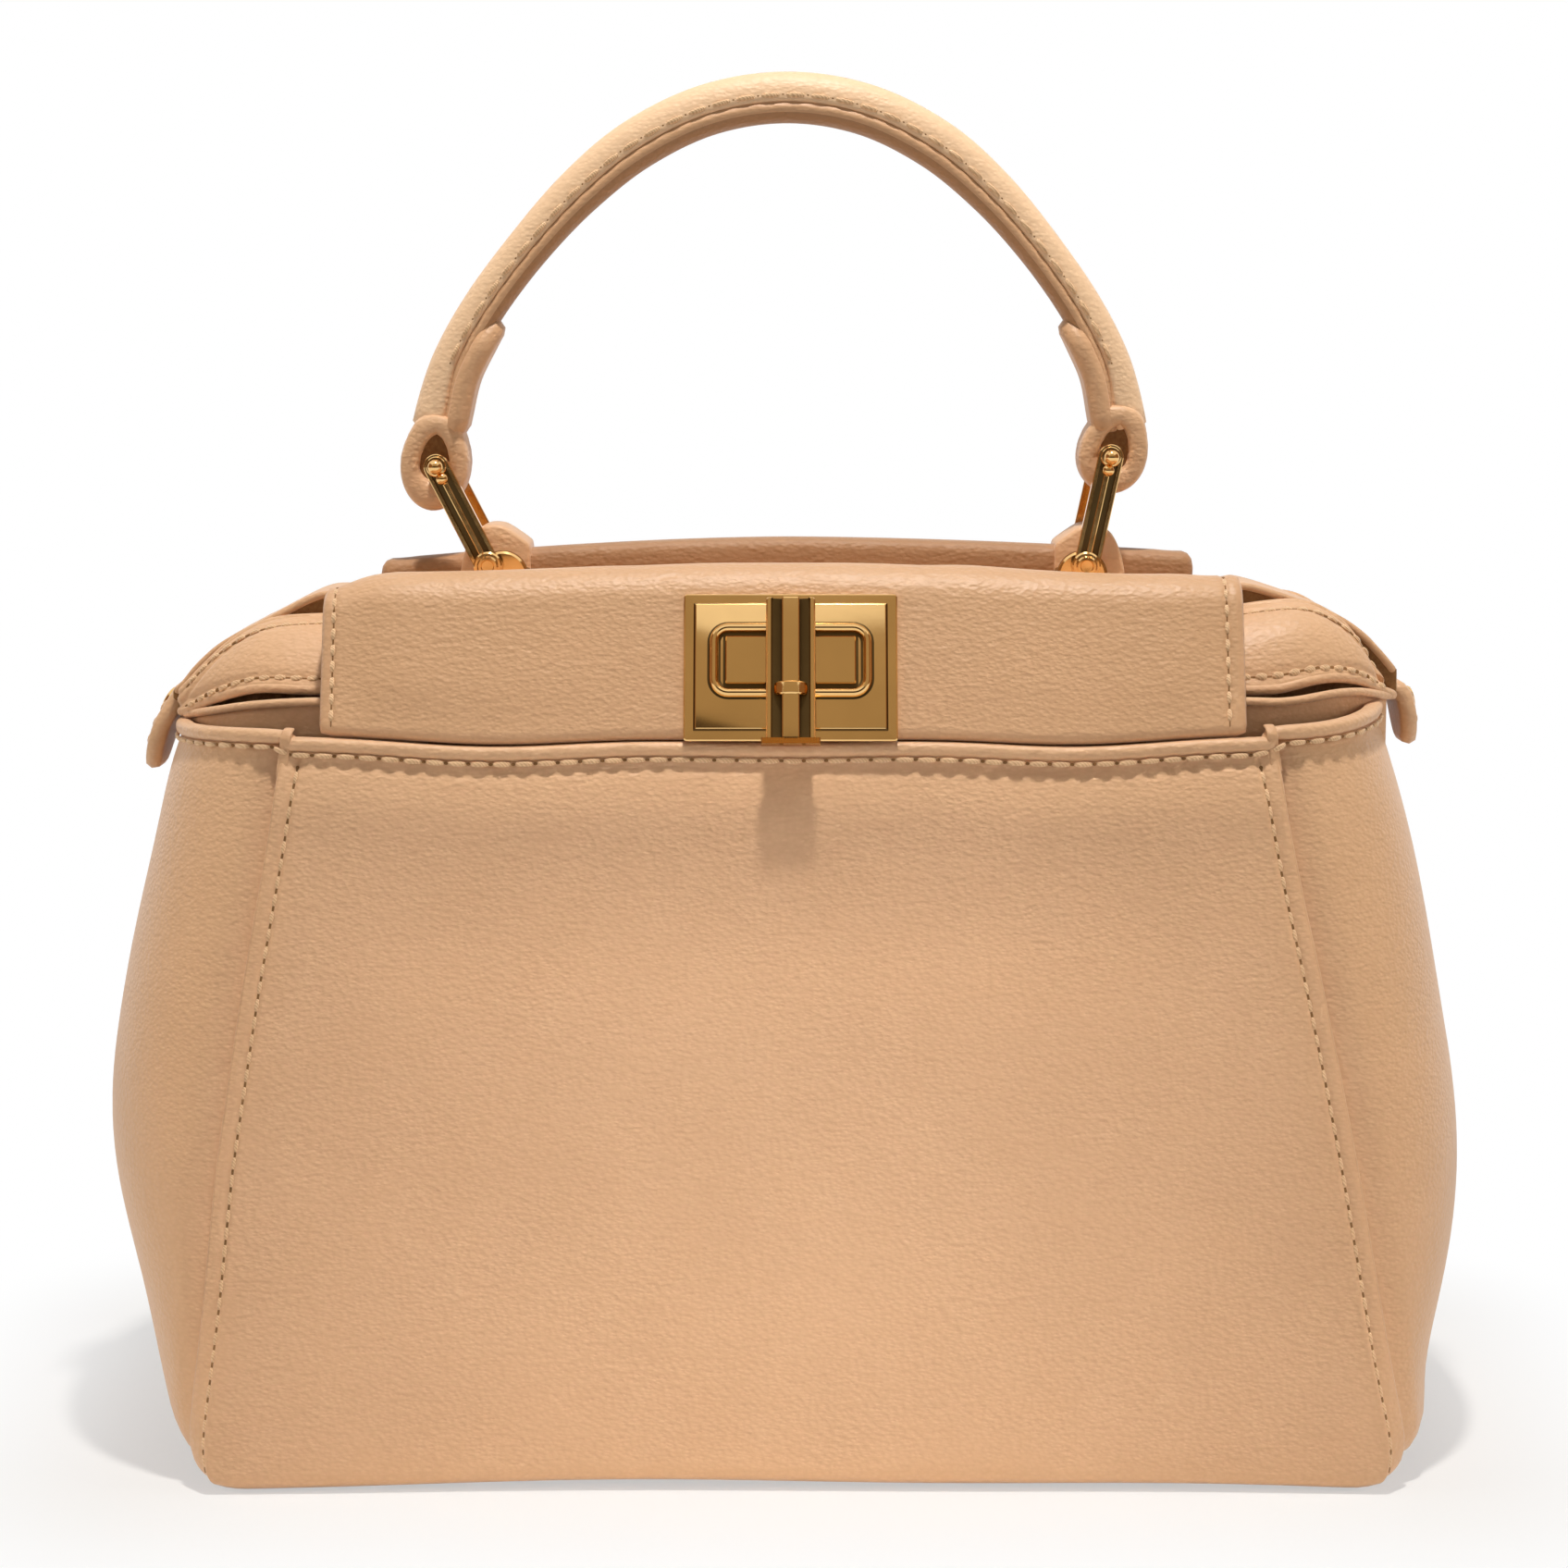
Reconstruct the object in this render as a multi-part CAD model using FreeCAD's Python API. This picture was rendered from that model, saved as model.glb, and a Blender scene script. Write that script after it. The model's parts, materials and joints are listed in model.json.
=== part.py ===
import FreeCAD
import Part
import math
import os

# A two-compartment top handle bag of smooth leather with gold-coloured hardware.
# A stiff divider carries a padded spine. A lock flap hangs from each side of the spine, and the handle's links
# stand on two lugs on top of it. The back is the front turned half round.
# Millimetres. The bag stands on z = 0, its front looks towards -y, and +x is to its right.

# General
CLEARANCE = 0.3  # between soft pieces that lie beside each other
RUNNING_GAP = 0.06  # radial, round a pin that turns

# Body shell
PANEL_HEIGHT = 130.0  # top of the front and back panels
WALL = 2.0
SEAM_BASE_WIDTH = 218.0  # front panel between its two seams, at the floor
SEAM_TOP_WIDTH = 176.0  # the same, at the panel's top
SEAM_SETBACK = 4.0  # the panel starts to turn this far inside the seam
GUSSET_BASE_REACH = 3.0  # how far the gusset stands out beyond the seam, at the floor
GUSSET_BELLY_REACH = 31.0
GUSSET_MOUTH_REACH = 25.6
BELLY_HEIGHT = 75.0
BASE_DEPTH = 100.0
MOUTH_DEPTH = 77.0
PANEL_BULGE = 5.0
GUSSET_RISE = 4.0  # the gussets' tops stand higher than the panels'
CORNER_FULLNESS = 0.64  # of the plan's round ends, 0.55 is an ellipse
BODY_SECTIONS = (0.0, 0.18, 0.4, 0.62, 0.84, 1.0, 1.1)  # heights, as shares of the panels' height

# Base
BASE_RIM = 6.0
BASE_EDGE_RADIUS = 3.5
BASE_EDGE_STEPS = ((0.0, 1.0), (0.1, 0.55), (0.35, 0.2), (1.0, 0.0))  # rise and inset, as shares of the radius
BASE_THICKNESS = 2.5
BOARD_THICKNESS = 2.0

# Top binding
BINDING_HEIGHT = 3.8
BINDING_OVERHANG = 0.9

# Lining and divider
LINING_THICKNESS = 0.8
LINING_SHORT = 3.0  # the lining ends this far below the panel's top
DIVIDER_THICKNESS = 3.2

# Spine
SPINE_LENGTH = 152.0
SPINE_RADIUS = 4.3
SPINE_ROD_RADIUS = 1.6
SPINE_RISE = 34.0  # axis at mid length above the panels' tops
SPINE_ARCH = 3.0  # the ends lie this far lower

# Shoulders, side straps and wings
SHOULDER_RISE = 26.0  # above the panels' tops
SHOULDER_INSET = 25.0
SHOULDER_BOW = 1.8
STRAP_THICKNESS = 2.2
STRAP_WIDTH = 20.0
STRAP_END_SETBACK = 2.6  # the strap stops this far short of the shoulder's foot
TAB_WIDTH = 16.0
TAB_LENGTH = 15.0
TAB_LEAN = 20.0  # degrees out from straight down
STUD_DROP = 4.5
STUD_RADIUS = 2.4
STUD_HEIGHT = 1.2
STUD_SHANK_RADIUS = 1.0
STUD_BURR_RADIUS = 1.9
STUD_BURR_HEIGHT = 0.6
WING_THICKNESS = 1.8
WING_INNER_X = 66.0
WING_TIP_INSET = 5.0  # from the shoulder's foot
WING_DEPTH = 25.0
WING_LOW_RISE = 12.0  # the wing's free edge above the panels' tops
WING_STATIONS = (0.0, 0.45, 0.75, 1.0)  # sections from the flap to the tip, as shares of the wing's length
WING_TAPER = 0.75  # share of its depth that the wing loses towards the tip

# Flap
FLAP_WIDTH = 168.0
FLAP_THICKNESS = 3.0
FLAP_LEAN = 20.0  # degrees, the front face leans back at its top
FLAP_ROLL_RADIUS = 6.0
FLAP_HINGE_REACH = 12.0  # from the divider's middle to the flap's hinge line
FLAP_HINGE_DROP = 6.0  # hinge line below the spine's axis
FLAP_TOP_RISE = 0.4  # sharp corner of the flap above the spine's axis
STRIP_THICKNESS = 2.0

# Lock
PLATE_WIDTH = 38.0
PLATE_LENGTH = 26.5
PLATE_RIM = 0.8
PLATE_THICKNESS = 1.8
PLATE_BEVEL = 2.6
PLATE_EDGE_GAP = 0.3  # from the flap's free edge
RING_WIDTH = 29.3
RING_LENGTH = 13.7
RING_BAND = 2.1
RING_HEIGHT = 1.2
RING_CORNER = 3.2
PAD_SIZE = 7.6
PAD_HEIGHT = 0.8
PAD_OFFSET = 8.0
POST_RADIUS = 2.0
TOGGLE_WIDTH = 8.8
TOGGLE_UP = 13.2  # from the post to the toggle's upper end
TOGGLE_DOWN = 16.2
TOGGLE_BASE = 1.3
TOGGLE_LIP = 0.7
TOGGLE_RIDGE = 2.5
TOGGLE_CROWN = 3.0
TOGGLE_FOOT = 5.2
TOGGLE_LIP_WIDTH = 1.1
CROSS_BAND = 1.8
CROSS_DROP = 2.8
BACKPLATE_WIDTH = 34.0
BACKPLATE_LENGTH = 21.0
BACKPLATE_THICKNESS = 0.8
SCREW_RADIUS = 0.9
SCREW_HEAD_RADIUS = 1.6
SCREW_HEAD_HEIGHT = 0.7
SCREW_BITE = 0.9
SCREW_INSET = 2.2
POST_HEAD_RADIUS = 3.6
POST_HEAD_HEIGHT = 0.8

# Lugs and links
LUG_SPACING = 112.0
LUG_RADIUS = 5.8
LUG_DEPTH = 13.2
LUG_PIVOT_RISE = 1.0  # above the spine's axis
LUG_SKIRT = 2.9  # the saddle reaches this far below the pivot
TAB_LEATHER = 1.8
LINK_LENGTH = 20.8
LINK_WIDTH = 4.4
LINK_EYE_RADIUS = 2.6
LINK_THICKNESS = 1.8
LINK_CHANNEL_WIDTH = 2.2
LINK_CHANNEL_DEPTH = 0.5
LINK_CHANNEL_END = 3.6
LEFT_LEAN = -27.0  # degrees from upright, towards +x
RIGHT_LEAN = 12.0  # degrees from upright, towards +x
PIN_RADIUS = 1.3
PIN_COLLAR_RADIUS = 1.9
PIN_COLLAR_HEIGHT = 0.6
PIN_BALL_RADIUS = 1.5
LINK_SCREW_HEAD = 1.0
LINK_SCREW_HEAD_RADIUS = 2.0
LINK_SCREW_BITE = 1.6

# Handle
HANDLE_RADIUS = 4.6
HANDLE_CORE_RADIUS = 2.8
HANDLE_SIDE_RADIUS = 105.0
HANDLE_TOP_ANGLE = 58.0  # degrees, where the top bend gives way to the sides
HANDLE_END_ANGLE = 77.0  # degrees, where the sides end
LOOP_RADIUS = 6.4
LOOP_PLAY = 0.7  # radial, round the pin
LOOP_DEPTH = 10.4
LOOP_REACH = 8.7
LOOP_NECK = 8.4
TAIL_LENGTH = 18.0
TAIL_THICKNESS = 2.6
TAIL_DEPTH = 8.0

# Places that several pieces share
SPINE_Z = PANEL_HEIGHT + SPINE_RISE
BINDING_TOP = PANEL_HEIGHT + BINDING_HEIGHT
FLAP_LOW_Z = BINDING_TOP + CLEARANCE
HINGE_Y = -FLAP_HINGE_REACH
HINGE_Z = SPINE_Z - FLAP_HINGE_DROP
LEAN = math.radians(FLAP_LEAN)
TOGGLE_GAP = 0.4  # under the toggle, above the plate's ring
TOGGLE_SEAT = PLATE_THICKNESS + RING_HEIGHT + TOGGLE_GAP
LINK_INNER_Y = LUG_DEPTH / 2 + CLEARANCE
LINK_OUTER_Y = LINK_INNER_Y + LINK_THICKNESS
FAR = 600.0  # larger than the bag

V = FreeCAD.Vector
ORIGIN = V(0, 0, 0)
X_AXIS = V(1, 0, 0)
Y_AXIS = V(0, 1, 0)
Z_AXIS = V(0, 0, 1)


def box(x0, x1, y0, y1, z0, z1):
    return Part.makeBox(x1 - x0, y1 - y0, z1 - z0, V(x0, y0, z0))


def prism(points, direction):
    """A flat polygon swept along a straight direction."""
    wire = Part.makePolygon(points + [points[0]])
    return Part.Face(wire).extrude(direction)


def joined(shapes):
    """Shapes that touch or overlap, as one solid with its flat faces merged."""
    return shapes[0].fuse(shapes[1:]).removeSplitter()


def turned(shape, centre, axis, degrees):
    copy = shape.copy()
    copy.rotate(centre, axis, degrees)
    return copy


def half_turn(shape):
    """The same piece on the back of the bag."""
    return turned(shape, ORIGIN, Z_AXIS, 180)


def mirrored_x(shape):
    return shape.mirror(ORIGIN, X_AXIS)


# The body's plan at any height: flat front and back, joined by full round ends


def seam_half(z):
    share = z / PANEL_HEIGHT
    return (SEAM_BASE_WIDTH + (SEAM_TOP_WIDTH - SEAM_BASE_WIDTH) * share) / 2


def gusset_reach(z):
    if z < BELLY_HEIGHT:
        share = 1 - z / BELLY_HEIGHT
        return GUSSET_BELLY_REACH - (GUSSET_BELLY_REACH - GUSSET_BASE_REACH) * share**2
    share = (z - BELLY_HEIGHT) / (PANEL_HEIGHT - BELLY_HEIGHT)
    return GUSSET_BELLY_REACH - (GUSSET_BELLY_REACH - GUSSET_MOUTH_REACH) * share**2


def half_width(z):
    return seam_half(z) + gusset_reach(z)


def half_depth(z):
    share = z / PANEL_HEIGHT
    taper = (BASE_DEPTH - MOUTH_DEPTH) / 2 * share
    return BASE_DEPTH / 2 - taper + PANEL_BULGE * math.sin(math.pi * share)


def quarter_curve(z, inset, side, way):
    """A quarter of the plan's round ends, from the flat front (way -1) or back out to the widest point."""
    flat = side * (seam_half(z) - SEAM_SETBACK)
    reach = side * (gusset_reach(z) + SEAM_SETBACK - inset)
    depth = way * (half_depth(z) - inset)
    curve = Part.BezierCurve()
    curve.setPoles(
        [
            V(flat, depth, z),
            V(flat + reach * CORNER_FULLNESS, depth, z),
            V(flat + reach, depth * CORNER_FULLNESS, z),
            V(flat + reach, 0, z),
        ]
    )
    return curve.toShape()


def plan_wire(z, inset):
    quarters = {(side, way): quarter_curve(z, inset, side, way) for side in (-1, 1) for way in (-1, 1)}
    flats = {}
    for way in (-1, 1):
        ends = [quarters[(side, way)].valueAt(0) for side in (-1, 1)]
        flats[way] = Part.makeLine(*ends)
    return Part.Wire(
        [flats[-1], quarters[(1, -1)], quarters[(1, 1)], flats[1], quarters[(-1, 1)], quarters[(-1, -1)]]
    )


def body_solid(inset):
    """The whole body as one closed form, drawn in by inset all round, reaching above the mouth."""
    wires = [plan_wire(PANEL_HEIGHT * share, inset) for share in BODY_SECTIONS]
    return Part.makeLoft(wires, True, False)


def under_top(rise):
    """Everything below the body's top line raised by rise: level over the panels, climbing over the gussets."""
    level = PANEL_HEIGHT + rise
    knee = SEAM_TOP_WIDTH / 2
    run = 2 * GUSSET_MOUTH_REACH
    climb = 2 * GUSSET_RISE
    points = [
        V(-knee - run, -FAR, level + climb),
        V(-knee, -FAR, level),
        V(knee, -FAR, level),
        V(knee + run, -FAR, level + climb),
        V(knee + run, -FAR, -FAR),
        V(-knee - run, -FAR, -FAR),
    ]
    return prism(points, V(0, 2 * FAR, 0))


def between_seams(y0, y1):
    """The wedge of space between the two slanting seams."""
    low, high = -PANEL_HEIGHT, 2 * PANEL_HEIGHT
    points = [
        V(-seam_half(low), y0, low),
        V(seam_half(low), y0, low),
        V(seam_half(high), y0, high),
        V(-seam_half(high), y0, high),
    ]
    return prism(points, V(0, y1 - y0, 0))


def body_walls(pieces):
    shell = body_solid(0).cut(body_solid(WALL)).common(under_top(0))
    shell = shell.common(box(-FAR, FAR, -FAR, FAR, BASE_RIM, FAR))
    pieces["front_panel"] = shell.common(between_seams(-FAR, 0))
    pieces["back_panel"] = shell.common(between_seams(0, FAR))
    ends = shell.cut(between_seams(-FAR, FAR))
    pieces["left_gusset"] = ends.common(box(-FAR, 0, -FAR, FAR, -FAR, FAR))
    pieces["right_gusset"] = ends.common(box(0, FAR, -FAR, FAR, -FAR, FAR))


def base(pieces):
    """A shallow tray with a rounded lower edge, and the board lying in it."""
    wires = [plan_wire(rise * BASE_EDGE_RADIUS, inset * BASE_EDGE_RADIUS) for rise, inset in BASE_EDGE_STEPS]
    slab = Part.makeLoft(wires + [plan_wire(BASE_RIM, 0)], True, True)
    hollow = Part.makeLoft([plan_wire(BASE_THICKNESS, WALL), plan_wire(BASE_RIM, WALL)], True, True)
    pieces["base_panel"] = slab.cut(hollow)
    top = BASE_THICKNESS + BOARD_THICKNESS
    fit = WALL + CLEARANCE
    pieces["base_board"] = Part.makeLoft([plan_wire(BASE_THICKNESS, fit), plan_wire(top, fit)], True, True)


def top_bindings(pieces):
    shell = body_solid(-BINDING_OVERHANG).cut(body_solid(WALL + BINDING_OVERHANG))
    band = shell.common(under_top(BINDING_HEIGHT)).cut(under_top(0))
    pieces["front_top_binding"] = band.common(box(-FAR, FAR, -FAR, 0, 0, FAR))
    pieces["back_top_binding"] = band.common(box(-FAR, FAR, 0, FAR, 0, FAR))


def linings(pieces):
    floor = BASE_THICKNESS + BOARD_THICKNESS
    top = PANEL_HEIGHT - LINING_SHORT
    outer_y = -DIVIDER_THICKNESS / 2
    inner_y = outer_y - LINING_THICKNESS
    inset = WALL + CLEARANCE / 2
    outer = body_solid(inset).common(box(-FAR, FAR, -FAR, outer_y, floor, top))
    hollow = body_solid(inset + LINING_THICKNESS)
    hollow = hollow.common(box(-FAR, FAR, -FAR, inner_y, floor + LINING_THICKNESS, FAR))
    pieces["front_lining"] = outer.cut(hollow)
    pieces["back_lining"] = half_turn(pieces["front_lining"])


# The shoulder line: the divider's rounded upper corner, on which the side strap lies


def shoulder_arc(side):
    """Foot, middle and top of the shoulder on one side."""
    foot_x = half_width(PANEL_HEIGHT)
    foot = V(foot_x, 0, BINDING_TOP + GUSSET_RISE + CLEARANCE)
    top = V(foot_x - SHOULDER_INSET, 0, PANEL_HEIGHT + SHOULDER_RISE)
    chord = top - foot
    out = V(chord.z, 0, -chord.x).normalize()
    middle = (foot + top) * 0.5 + out * SHOULDER_BOW
    return [V(side * p.x, p.y, p.z) for p in (foot, middle, top)]


def shoulder_circle():
    """Centre and radius of the +x shoulder."""
    circle = Part.Arc(*shoulder_arc(1)).toShape().Curve
    return circle.Center, circle.Radius


def shoulder_height(x):
    """Height of the shoulder line at a distance x from the middle."""
    centre, radius = shoulder_circle()
    reach = min(max(x - centre.x, 0), radius)
    return centre.z + math.sqrt(radius**2 - reach**2)


def spine_line():
    """The spine's gently arched axis."""
    half = SPINE_LENGTH / 2
    low = SPINE_Z - SPINE_ARCH
    return Part.Arc(V(-half, 0, low), V(0, 0, SPINE_Z), V(half, 0, low)).toShape()


def along(edges, radius):
    """A round bar of the given radius along a path of lines and arcs."""
    path = Part.Wire(edges)
    first = edges[0]
    start = first.valueAt(first.FirstParameter)
    direction = first.tangentAt(first.FirstParameter)
    ring = Part.Wire(Part.makeCircle(radius, start, direction))
    return path.makePipeShell([ring], True, False)


def spine_height(x):
    """Height of the spine's axis at a distance x from the middle."""
    half = SPINE_LENGTH / 2
    radius = (half**2 + SPINE_ARCH**2) / (2 * SPINE_ARCH)
    return SPINE_Z - radius + math.sqrt(radius**2 - x**2)


def spine(pieces):
    line = [spine_line()]
    rod = along(line, SPINE_ROD_RADIUS)
    pieces["spine_rod"] = rod
    pieces["spine_cover"] = along(line, SPINE_RADIUS).cut(rod)


def divider(pieces):
    half = DIVIDER_THICKNESS / 2
    floor = BASE_THICKNESS + BOARD_THICKNESS
    inset = WALL + BINDING_OVERHANG + CLEARANCE
    foot, middle, top = shoulder_arc(1)
    left_foot, left_middle, left_top = shoulder_arc(-1)
    lower = body_solid(inset).common(box(-FAR, FAR, -half, half, floor, foot.z))
    crest_x = SPINE_LENGTH / 2
    crest = V(crest_x, 0, spine_height(crest_x))
    left_crest = V(-crest_x, 0, crest.z)
    outline = [
        Part.Arc(foot, middle, top).toShape(),
        Part.makeLine(top, crest),
        Part.makeLine(crest, left_crest),
        Part.makeLine(left_crest, left_top),
        Part.Arc(left_top, left_middle, left_foot).toShape(),
        Part.makeLine(left_foot, foot),
    ]
    upper = Part.Face(Part.Wire(outline)).extrude(V(0, DIVIDER_THICKNESS, 0))
    upper.translate(V(0, -half, 0))
    board = joined([lower, upper]).cut(along([spine_line()], SPINE_RADIUS))
    pieces["divider_board"] = board.cut(tab_room()).cut(mirrored_x(tab_room()))


def wings(pieces):
    """The sloping shoulder panels, one each side of the divider at each end."""
    tip = shoulder_arc(1)[0].x - WING_TIP_INSET
    strip_floor = HINGE_Z - STRIP_THICKNESS - WING_THICKNESS
    start = DIVIDER_THICKNESS / 2 + CLEARANCE
    sections = []
    for share in WING_STATIONS:
        x = WING_INNER_X + (tip - WING_INNER_X) * share
        high = min(shoulder_height(x), strip_floor) - WING_THICKNESS
        low = PANEL_HEIGHT + WING_LOW_RISE - share * WING_THICKNESS
        out = start + (WING_DEPTH - start) * (1 - WING_TAPER * share**2)
        points = [
            V(x, -start, high),
            V(x, -out, low),
            V(x, -out, low + WING_THICKNESS),
            V(x, -start, high + WING_THICKNESS),
        ]
        sections.append(Part.makePolygon(points + [points[0]]))
    wing = Part.makeLoft(sections, True, True)
    pieces["front_right_wing"] = wing
    pieces["front_left_wing"] = mirrored_x(wing)
    pieces["back_left_wing"] = half_turn(wing)
    pieces["back_right_wing"] = half_turn(mirrored_x(wing))


def ring_sector(centre, inner, outer, start, end, depth):
    """A slab between two concentric arcs in the xz plane, from angle start to end in degrees, centred on y = 0."""

    def at(radius, degrees):
        angle = math.radians(degrees)
        return centre + V(radius * math.cos(angle), 0, radius * math.sin(angle))

    middle = (start + end) / 2
    edges = [
        Part.Arc(at(outer, start), at(outer, middle), at(outer, end)).toShape(),
        Part.makeLine(at(outer, end), at(inner, end)),
        Part.Arc(at(inner, end), at(inner, middle), at(inner, start)).toShape(),
        Part.makeLine(at(inner, start), at(outer, start)),
    ]
    slab = Part.Face(Part.Wire(edges)).extrude(V(0, depth, 0))
    slab.translate(V(0, -depth / 2, 0))
    return slab


def tab_hinge():
    """Centre of the bead at the top of the +x side tab, just past the end of the strap."""
    centre, radius = shoulder_circle()
    middle = radius + CLEARANCE + STRAP_THICKNESS / 2
    angle = math.radians(strap_end_angle()) - (STRAP_THICKNESS / 2 + CLEARANCE) / middle
    return centre + V(middle * math.cos(angle), 0, middle * math.sin(angle))


def strap_end_angle():
    """Direction from the shoulder's centre to the strap's lower end, in degrees."""
    centre, _ = shoulder_circle()
    foot = shoulder_arc(1)[0]
    lift = math.degrees(STRAP_END_SETBACK / (foot - centre).Length)
    return math.degrees(math.atan2(foot.z - centre.z, foot.x - centre.x)) + lift


def hung_on_shoulder(shape):
    """Carries a tab piece from its own upright frame to its place below the +x strap."""
    hung = turned(shape, ORIGIN, Y_AXIS, -TAB_LEAN)
    hung.translate(tab_hinge())
    return hung


def tab_room():
    """The space round the +x tab and its stud, with clearance, which the divider leaves free."""
    inner = STRAP_THICKNESS / 2 + STUD_BURR_HEIGHT + CLEARANCE
    outer = STRAP_THICKNESS / 2 + CLEARANCE
    wide = TAB_WIDTH / 2 + CLEARANCE
    return hung_on_shoulder(box(-inner, outer, -wide, wide, -TAB_LENGTH - CLEARANCE, outer))


def side_straps(pieces):
    """The strap over each shoulder, and the stud-fastened tab that hangs from it."""
    centre, radius = shoulder_circle()
    inner = radius + CLEARANCE
    top = shoulder_arc(1)[2]
    top_angle = math.degrees(math.atan2(top.z - centre.z, top.x - centre.x))
    strap = ring_sector(centre, inner, inner + STRAP_THICKNESS, strap_end_angle(), top_angle, STRAP_WIDTH)
    pieces["right_side_strap"] = strap
    pieces["left_side_strap"] = mirrored_x(strap)

    half = STRAP_THICKNESS / 2
    straight = TAB_LENGTH - TAB_WIDTH / 2
    bead = Part.makeCylinder(half, TAB_WIDTH, V(0, -TAB_WIDTH / 2, 0), Y_AXIS)
    blade = box(-half, half, -TAB_WIDTH / 2, TAB_WIDTH / 2, -straight, 0)
    disc = Part.makeCylinder(TAB_WIDTH / 2, STRAP_THICKNESS, V(-half, 0, -straight), X_AXIS)
    tip = disc.common(box(-half, half, -TAB_WIDTH / 2, TAB_WIDTH / 2, -TAB_LENGTH, -straight))
    tab = joined([bead, blade, tip])
    cap = Part.makeCylinder(STUD_RADIUS, STUD_HEIGHT, V(half, 0, -STUD_DROP), X_AXIS)
    cap = cap.makeFillet(STUD_HEIGHT / 2, [cap.Edges[0]])
    shank = Part.makeCylinder(STUD_SHANK_RADIUS, STRAP_THICKNESS, V(-half, 0, -STUD_DROP), X_AXIS)
    burr = Part.makeCylinder(STUD_BURR_RADIUS, STUD_BURR_HEIGHT, V(-half, 0, -STUD_DROP), V(-1, 0, 0))
    tab = tab.cut(shank)
    stud = joined([cap, shank, burr])
    for node, shape in (("side_tab", tab), ("tab_stud", stud)):
        pieces["right_" + node] = hung_on_shoulder(shape)
        pieces["left_" + node] = mirrored_x(pieces["right_" + node])


# The flap's profile, seen from the side: y is towards the back, z is up


def flap_corner():
    """Where the middle of the flap's front face would meet the middle of its top, as (y, z)."""
    face = half_depth(PANEL_HEIGHT) + BINDING_OVERHANG - FLAP_THICKNESS / math.cos(LEAN) / 2
    z = SPINE_Z + FLAP_TOP_RISE
    return -face + (z - FLAP_LOW_Z) * math.tan(LEAN), z


def on_flap(shape):
    """Moves a lock piece from its own flat frame, x across, y up the flap and z outwards, on to the front flap."""
    up = V(0, math.sin(LEAN), math.cos(LEAN))
    out = V(0, -math.cos(LEAN), math.sin(LEAN))
    centre = lock_centre()
    frame = FreeCAD.Matrix(1, 0, 0, 0, 0, up.y, out.y, centre.y, 0, up.z, out.z, centre.z, 0, 0, 0, 1)
    placed = shape.copy()
    placed.Placement = FreeCAD.Placement(frame).multiply(placed.Placement)
    return placed


def lock_centre():
    """The middle of the lock plate, on the flap's outer face."""
    up = V(0, math.sin(LEAN), math.cos(LEAN))
    out = V(0, -math.cos(LEAN), math.sin(LEAN))
    corner_y, corner_z = flap_corner()
    run = (corner_z - FLAP_LOW_Z) / math.cos(LEAN)
    low_edge = V(0, corner_y, corner_z) - up * run + out * (FLAP_THICKNESS / 2)
    return low_edge + up * (PLATE_EDGE_GAP + FLAP_THICKNESS * math.tan(LEAN) / 2 + PLATE_LENGTH / 2)


def thick_strip(start, corner, end, radius, thickness):
    """A strip of even thickness through two straight legs and a rounded corner, as a face in the yz plane."""
    first = (corner - start).normalize()
    second = (end - corner).normalize()
    turn = math.acos(first.dot(second))
    sign = 1 if first.cross(second).x > 0 else -1
    back = radius * math.tan(turn / 2)
    leave = corner - first * back
    land = corner + second * back
    inward = V(0, -first.z, first.y) * sign
    centre = leave + inward * radius
    bisector = (corner - centre).normalize()
    half = thickness / 2
    sides = []
    for offset in (half, -half):
        reach = radius + offset
        out_first = inward * -offset
        out_second = (land - centre).normalize() * offset
        a = start + out_first
        b = leave + out_first
        c = land + out_second
        d = end + out_second
        arc = Part.Arc(b, centre + bisector * reach, c).toShape()
        sides.append((a, d, [Part.makeLine(a, b), arc, Part.makeLine(c, d)]))
    (a0, d0, outer), (a1, d1, inner) = sides
    bead = Part.Arc(a1, start - first * half, a0).toShape()
    return Part.Face(Part.Wire(Part.__sortEdges__(outer + inner + [bead, Part.makeLine(d0, d1)])))


def flaps(pieces):
    """The lock flap on each side, and the strip of leather that carries its hinge line."""
    half = FLAP_WIDTH / 2
    corner_y, corner_z = flap_corner()
    low_y = corner_y - (corner_z - FLAP_LOW_Z) * math.tan(LEAN)
    hinge = V(-half, HINGE_Y, HINGE_Z)
    corner = V(-half, corner_y, corner_z)
    low = V(-half, low_y, FLAP_LOW_Z)
    face = thick_strip(hinge, corner, low, FLAP_ROLL_RADIUS, FLAP_THICKNESS)
    flap = face.extrude(V(FLAP_WIDTH, 0, 0))
    flap = flap.common(box(-FAR, FAR, -FAR, FAR, FLAP_LOW_Z, FAR))
    thickness = FLAP_THICKNESS + 2 * CLEARANCE
    hole = Part.makeCylinder(POST_RADIUS + RUNNING_GAP, 2 * thickness, V(0, 0, -thickness), Z_AXIS)
    screws = screw_group()
    pieces["front_flap"] = flap.cut(on_flap(hole)).cut(on_flap(screws))
    pieces["back_flap"] = half_turn(pieces["front_flap"])

    strip_half = SPINE_LENGTH / 2
    face_y = -DIVIDER_THICKNESS / 2
    end_y = HINGE_Y + FLAP_THICKNESS / 2 + CLEARANCE
    root_z = spine_height(SPINE_LENGTH / 2) - SPINE_RADIUS - CLEARANCE
    end_z = HINGE_Z + STRIP_THICKNESS / 2
    points = [
        V(-strip_half, face_y, root_z),
        V(-strip_half, end_y, end_z),
        V(-strip_half, end_y, end_z - STRIP_THICKNESS),
        V(-strip_half, face_y, root_z - STRIP_THICKNESS),
    ]
    pieces["front_hinge_strip"] = prism(points, V(2 * strip_half, 0, 0))
    pieces["back_hinge_strip"] = half_turn(pieces["front_hinge_strip"])


# The lock, in its own flat frame: x across the flap, y up it, z out from its face


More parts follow.
